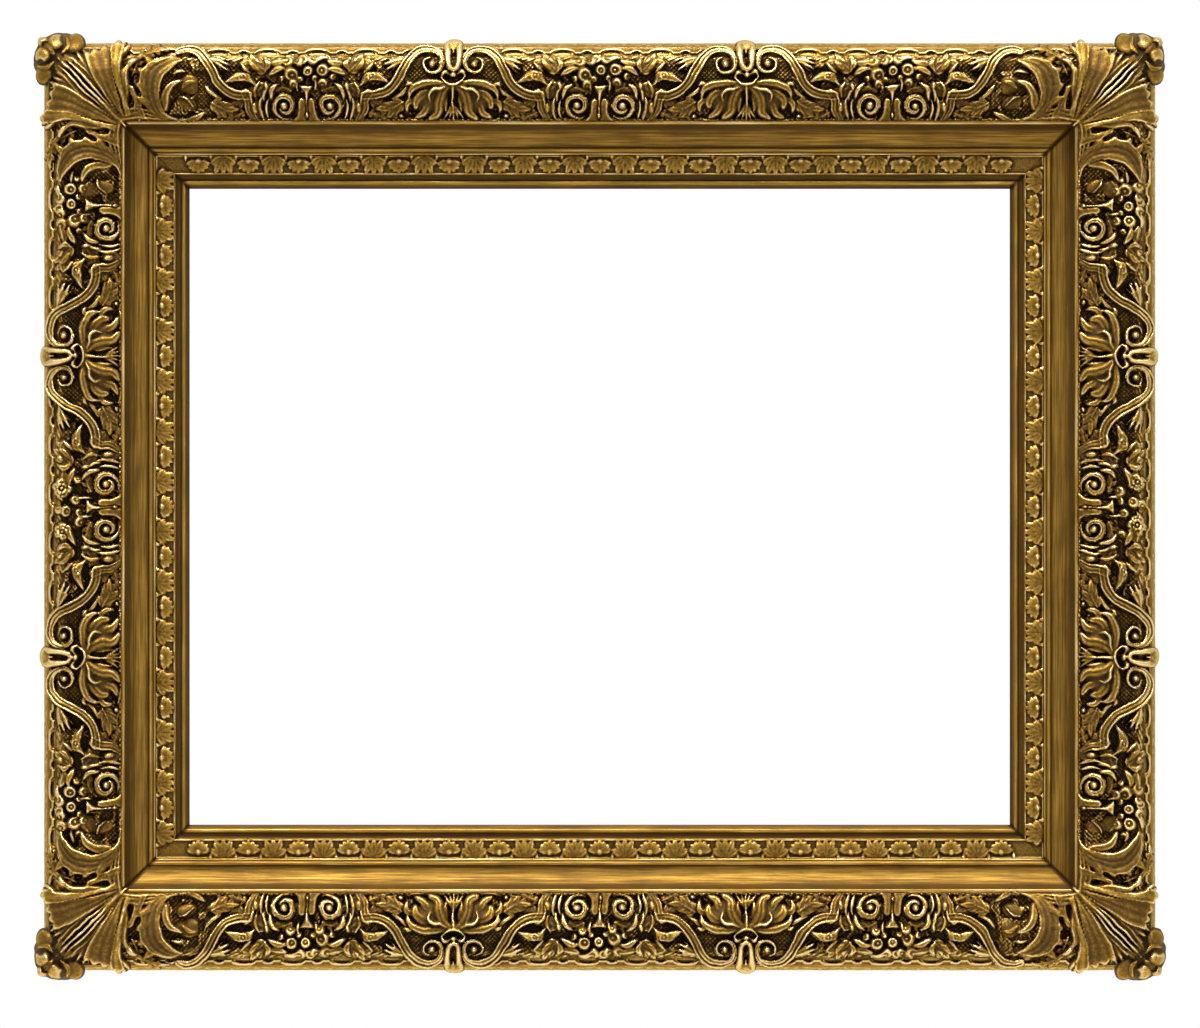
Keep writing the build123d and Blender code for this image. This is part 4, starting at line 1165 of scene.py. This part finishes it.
def leaf_band(side, seed):
    """Pressed strip on the slip: a lobed leaf and a scalloped shield in turn."""
    half = HALF[side]
    relief = Relief((-half + leaf_start, half - leaf_start), (leaf_start, leaf_end))
    relief.soft, relief.sink, relief.h[:] = 0.5, 0.3, -0.3
    pitch = motif_pitch / 2
    count = int((half - leaf_end) / pitch)
    low, high = leaf_start, leaf_end
    middle = (low + high) / 2
    for k in range(-count, count + 1):
        relief.stand((k * pitch, 0))
        if k % 2:
            # A leaf of five lobes that spread from the top of the band
            for out, down, wide in ((0, high - 0.3, 2.6), (4.3, high - 0.7, 2.6), (6.7, middle - 0.2, 2.5)):
                for hand in (-1, 1):
                    relief.stand((k * pitch, 0), hand)
                    bend = (out * 0.62, low + 0.8 + (down - low) * 0.45)
                    relief.blade([(0.3, low + 0.8), bend, (out, down)], wide, 2.4, 0.5, 0.45)
        else:
            # A scalloped shell with a round heart
            for turn in range(7):
                angle = math.pi * (turn + 0.5) / 7
                c, sn = math.cos(angle), math.sin(angle)
                relief.blade([(0.0, middle - 2.0), (3.2 * c, middle - 1.9 + 2.9 * sn),
                              (6.6 * c, middle - 2.0 + 6.6 * sn)], 2.1, 2.4, 0.3, 0.35)
            relief.ball((0.0, middle - 1.9), (2.2, 2.0), 2.9, 0.6)
        relief.stand(((k + 0.5) * pitch, 0))
        relief.stroke([(0.0, low + 0.7), (0.0, low + 3.2)], [1.3, 0.5], [2.0, 1.4])
    # Thin lines along both edges of the band
    x, y = relief.grid()
    for middle_line in (low + 0.55, high - 0.55):
        relief.raise_to((slice(None), slice(None)), np.full(x.shape, 1.5), 0.55 - np.abs(y - middle_line))
    x, y = finish_relief(relief, seed, 0)
    relief.h = np.maximum(relief.h, 0.35)
    # Painted shade in the hollows of the band and painted highlight on its raised parts
    shading_and_wash = np.clip(0.34 + 0.5 * (blurred(relief.h, 1.0 / step) - relief.h), 0, 1)
    keep = np.abs(x) <= half - y + step
    relief.inside[:] = 9.0
    top = leaf_ground_high + np.minimum(relief.h, 3.9)
    bottom = np.full(x.shape, leaf_ground_high - 0.4)
    relief_piece(side, "leaf_band", relief, top, bottom, keep, shading_and_wash)


def edge_strip(side, seed):
    """Pressed strip on the sloping side: a hanging lambrequin between lunettes."""
    half = HALF[side]
    run = math.hypot(edge_wide, edge_high - foot_high)
    share = np.linspace(-1, 1, int(2 * half / (1.6 * step)))
    t = np.linspace(0, run, int(run / (1.4 * step)))
    s, gt = np.meshgrid(share, t, indexing="ij")
    gx = s * (half - edge_wide * gt / run)
    # Scallops that hang from the edge, with fluted leaves in them and drops between them
    phase = np.abs(((gx / hem_pitch + 0.5) % 1) - 0.5) * 2
    hem = 8.0 + 7.0 * phase**2
    scallop = bump(gt - hem, 0.8) + 0.7 * bump(gt - hem - 2.4, 0.5)
    fan_turn = np.arctan2(phase * hem_pitch / 2, run - 2.0 - gt)
    leaf = 0.8 * np.abs(np.cos(6.0 * fan_turn)) ** 0.7
    leaf = leaf * ease((gt - hem - 3.6) / 1.5) * ease((run - 3.0 - gt) / 1.2)
    drop = ease((2.0 - np.hypot((1 - phase) * hem_pitch / 2, (gt - 10.5) * 0.5)) / 1.2)
    foot = 0.9 * bump(gt - 1.6, 1.2) + 0.6 * bump(gt - 4.4, 0.6)
    rise = np.maximum.reduce([scallop, leaf, drop, foot]) + 0.10 * noise(gx, gt, 2.0, seed)
    rise = np.clip(rise, 0, 1.1)
    # Painted shade in the hollows of the hem and painted highlight on its raised parts
    shading_and_wash = np.clip(0.22 + 0.5 * (blurred(rise, 1.2 / step) - rise), 0, 1)
    y = edge_wide * gt / run
    z = foot_high + (edge_high - foot_high) * gt / run
    top = np.stack([s * (half - y + rise), y - rise, z + rise * 0.13], -1)
    inner = np.stack([s * (half - y - 1.0), y + 1.0, z], -1)
    spots, quads = closed_skin(top, inner)
    points = placed(side, *spots.T)
    lay = np.tile(np.stack([gx, gt, z], -1).reshape(-1, 3), (2, 1))
    piece = lay_mesh(f"{side}_edge_strip_relief", points, quads, lay, np.tile(shading_and_wash.ravel(), 2))
    slot_and_ride(piece, f"{side}_edge_strip", [ground_gilt])


def build_corner(corner, seed):
    relief = Relief((corner_out, corner_in), (corner_out, corner_in))
    for swap in (False, True):
        corner_relief(relief, swap)
    corner_middle(relief)
    x, y = finish_relief(relief, seed)
    lower = np.minimum(x, y)
    floor = worn_ground(np.maximum(x, y), lower, seed)
    # Painted shade in the corner's recesses and painted highlight on its heights
    shading_and_wash = cavity_of(np.maximum(relief.h, floor))
    ornament_piece(corner, "leaf", relief, lower, lower <= ground_end + 3.0, knob_low, shading_and_wash)


rail_outline, slip_outline = rail_section(), slip_section()
for k, side in enumerate(("bottom", "right", "top", "left")):
    xs, ys, shading_and_wash = build_reliefs(side, 100 * (k + 1))
    skin = build_ground(side, xs, ys, shading_and_wash, 100 * (k + 1))
    build_moulding(side, "rail", rail_outline, 50 + k, rail_gilt_from, skin)
    build_moulding(side, "slip", slip_outline, 60 + k, slip_gilt_from)
    leaf_band(side, 70 + k)
    edge_strip(side, 80 + k)
for k, corner in enumerate(("bottom_left", "bottom_right", "top_right", "top_left")):
    build_corner(corner, 900 + 10 * k)

for name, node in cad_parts.items():
    if name.endswith("_key"):
        finish = falling_key if name in ("bottom_left_key", "top_right_key") else rising_key
    elif "screw" in name:
        finish = steel
    elif "button" in name or "hanger" in name:
        finish = brass
    else:
        continue
    node.data.materials.clear()
    node.data.materials.append(finish)


# Floor, backdrop, lights and camera

def stage_plane(name, corners, colour):
    mesh = bpy.data.meshes.new(name)
    mesh.from_pydata(corners, [], [(0, 1, 2, 3)])
    plane = linked(name, mesh)
    material, tree, shader = nodes_of(name)
    shader.inputs["Base Color"].default_value = (*colour, 1.0)
    shader.inputs["Roughness"].default_value = 0.9
    # Seen or mirrored, it is a little paler than its light makes it
    glow = math_node(tree, "MULTIPLY", seen_rays(tree), 0.35)
    tree.links.new(glow, shader.inputs["Emission Strength"])
    shader.inputs["Emission Color"].default_value = (*colour, 1.0)
    mesh.materials.append(material)


floor_high, room = -0.75, 4.0
stage_plane("floor", [(-room, -room, floor_high), (room, -room, floor_high),
                      (room, room, floor_high), (-room, room, floor_high)], (0.85, 0.84, 0.82))

world = bpy.data.worlds.new("studio")
bpy.context.scene.world = world
world.use_nodes = True
tree = world.node_tree
background = tree.nodes["Background"]
sky = mixed(tree, seen_rays(tree), (0.12, 0.12, 0.12), (1.0, 1.0, 1.0))
tree.links.new(sky, background.inputs["Color"])
background.inputs["Strength"].default_value = 1.0


def lamp(name, place, aim, size, power, colour=(1.0, 0.96, 0.90)):
    light = bpy.data.lights.new(name, "AREA")
    light.shape = "RECTANGLE"
    light.size, light.size_y = size
    light.energy = power
    light.color = colour
    holder = linked(name, light)
    holder.location = place
    holder.rotation_euler = (Vector(aim) - Vector(place)).to_track_quat("-Z", "Y").to_euler()


lamp("key", (-0.7, -1.4, 2.4), (0, 0, 0), (0.9, 0.5), 72)
lamp("sky", (0, -0.6, 2.3), (0, 0, -0.2), (4.2, 0.4), 134)
lamp("fill", (1.5, -2.4, 0.6), (0, 0, 0), (0.9, 0.9), 12, (0.95, 0.97, 1.0))

photo_wide, photo_high = 1200, 1028
mm_per_pixel = 0.541
middle_x, middle_y = 599.7, 506.8
distance, face_depth, sensor = 4.0, 0.030, 36.0
camera_data = bpy.data.cameras.new("camera")
camera = linked("camera", camera_data)
bpy.context.scene.camera = camera
camera.location = ((photo_wide / 2 - middle_x) * mm_per_pixel * MM, -distance,
                   -(photo_high / 2 - middle_y) * mm_per_pixel * MM)
camera.rotation_euler = (math.pi / 2, 0, 0)
camera_data.sensor_width = sensor
camera_data.lens = sensor * (distance - face_depth) / (photo_wide * mm_per_pixel * MM)
camera_data.clip_end = 50.0

bpy.context.scene.view_settings.view_transform = "Standard"
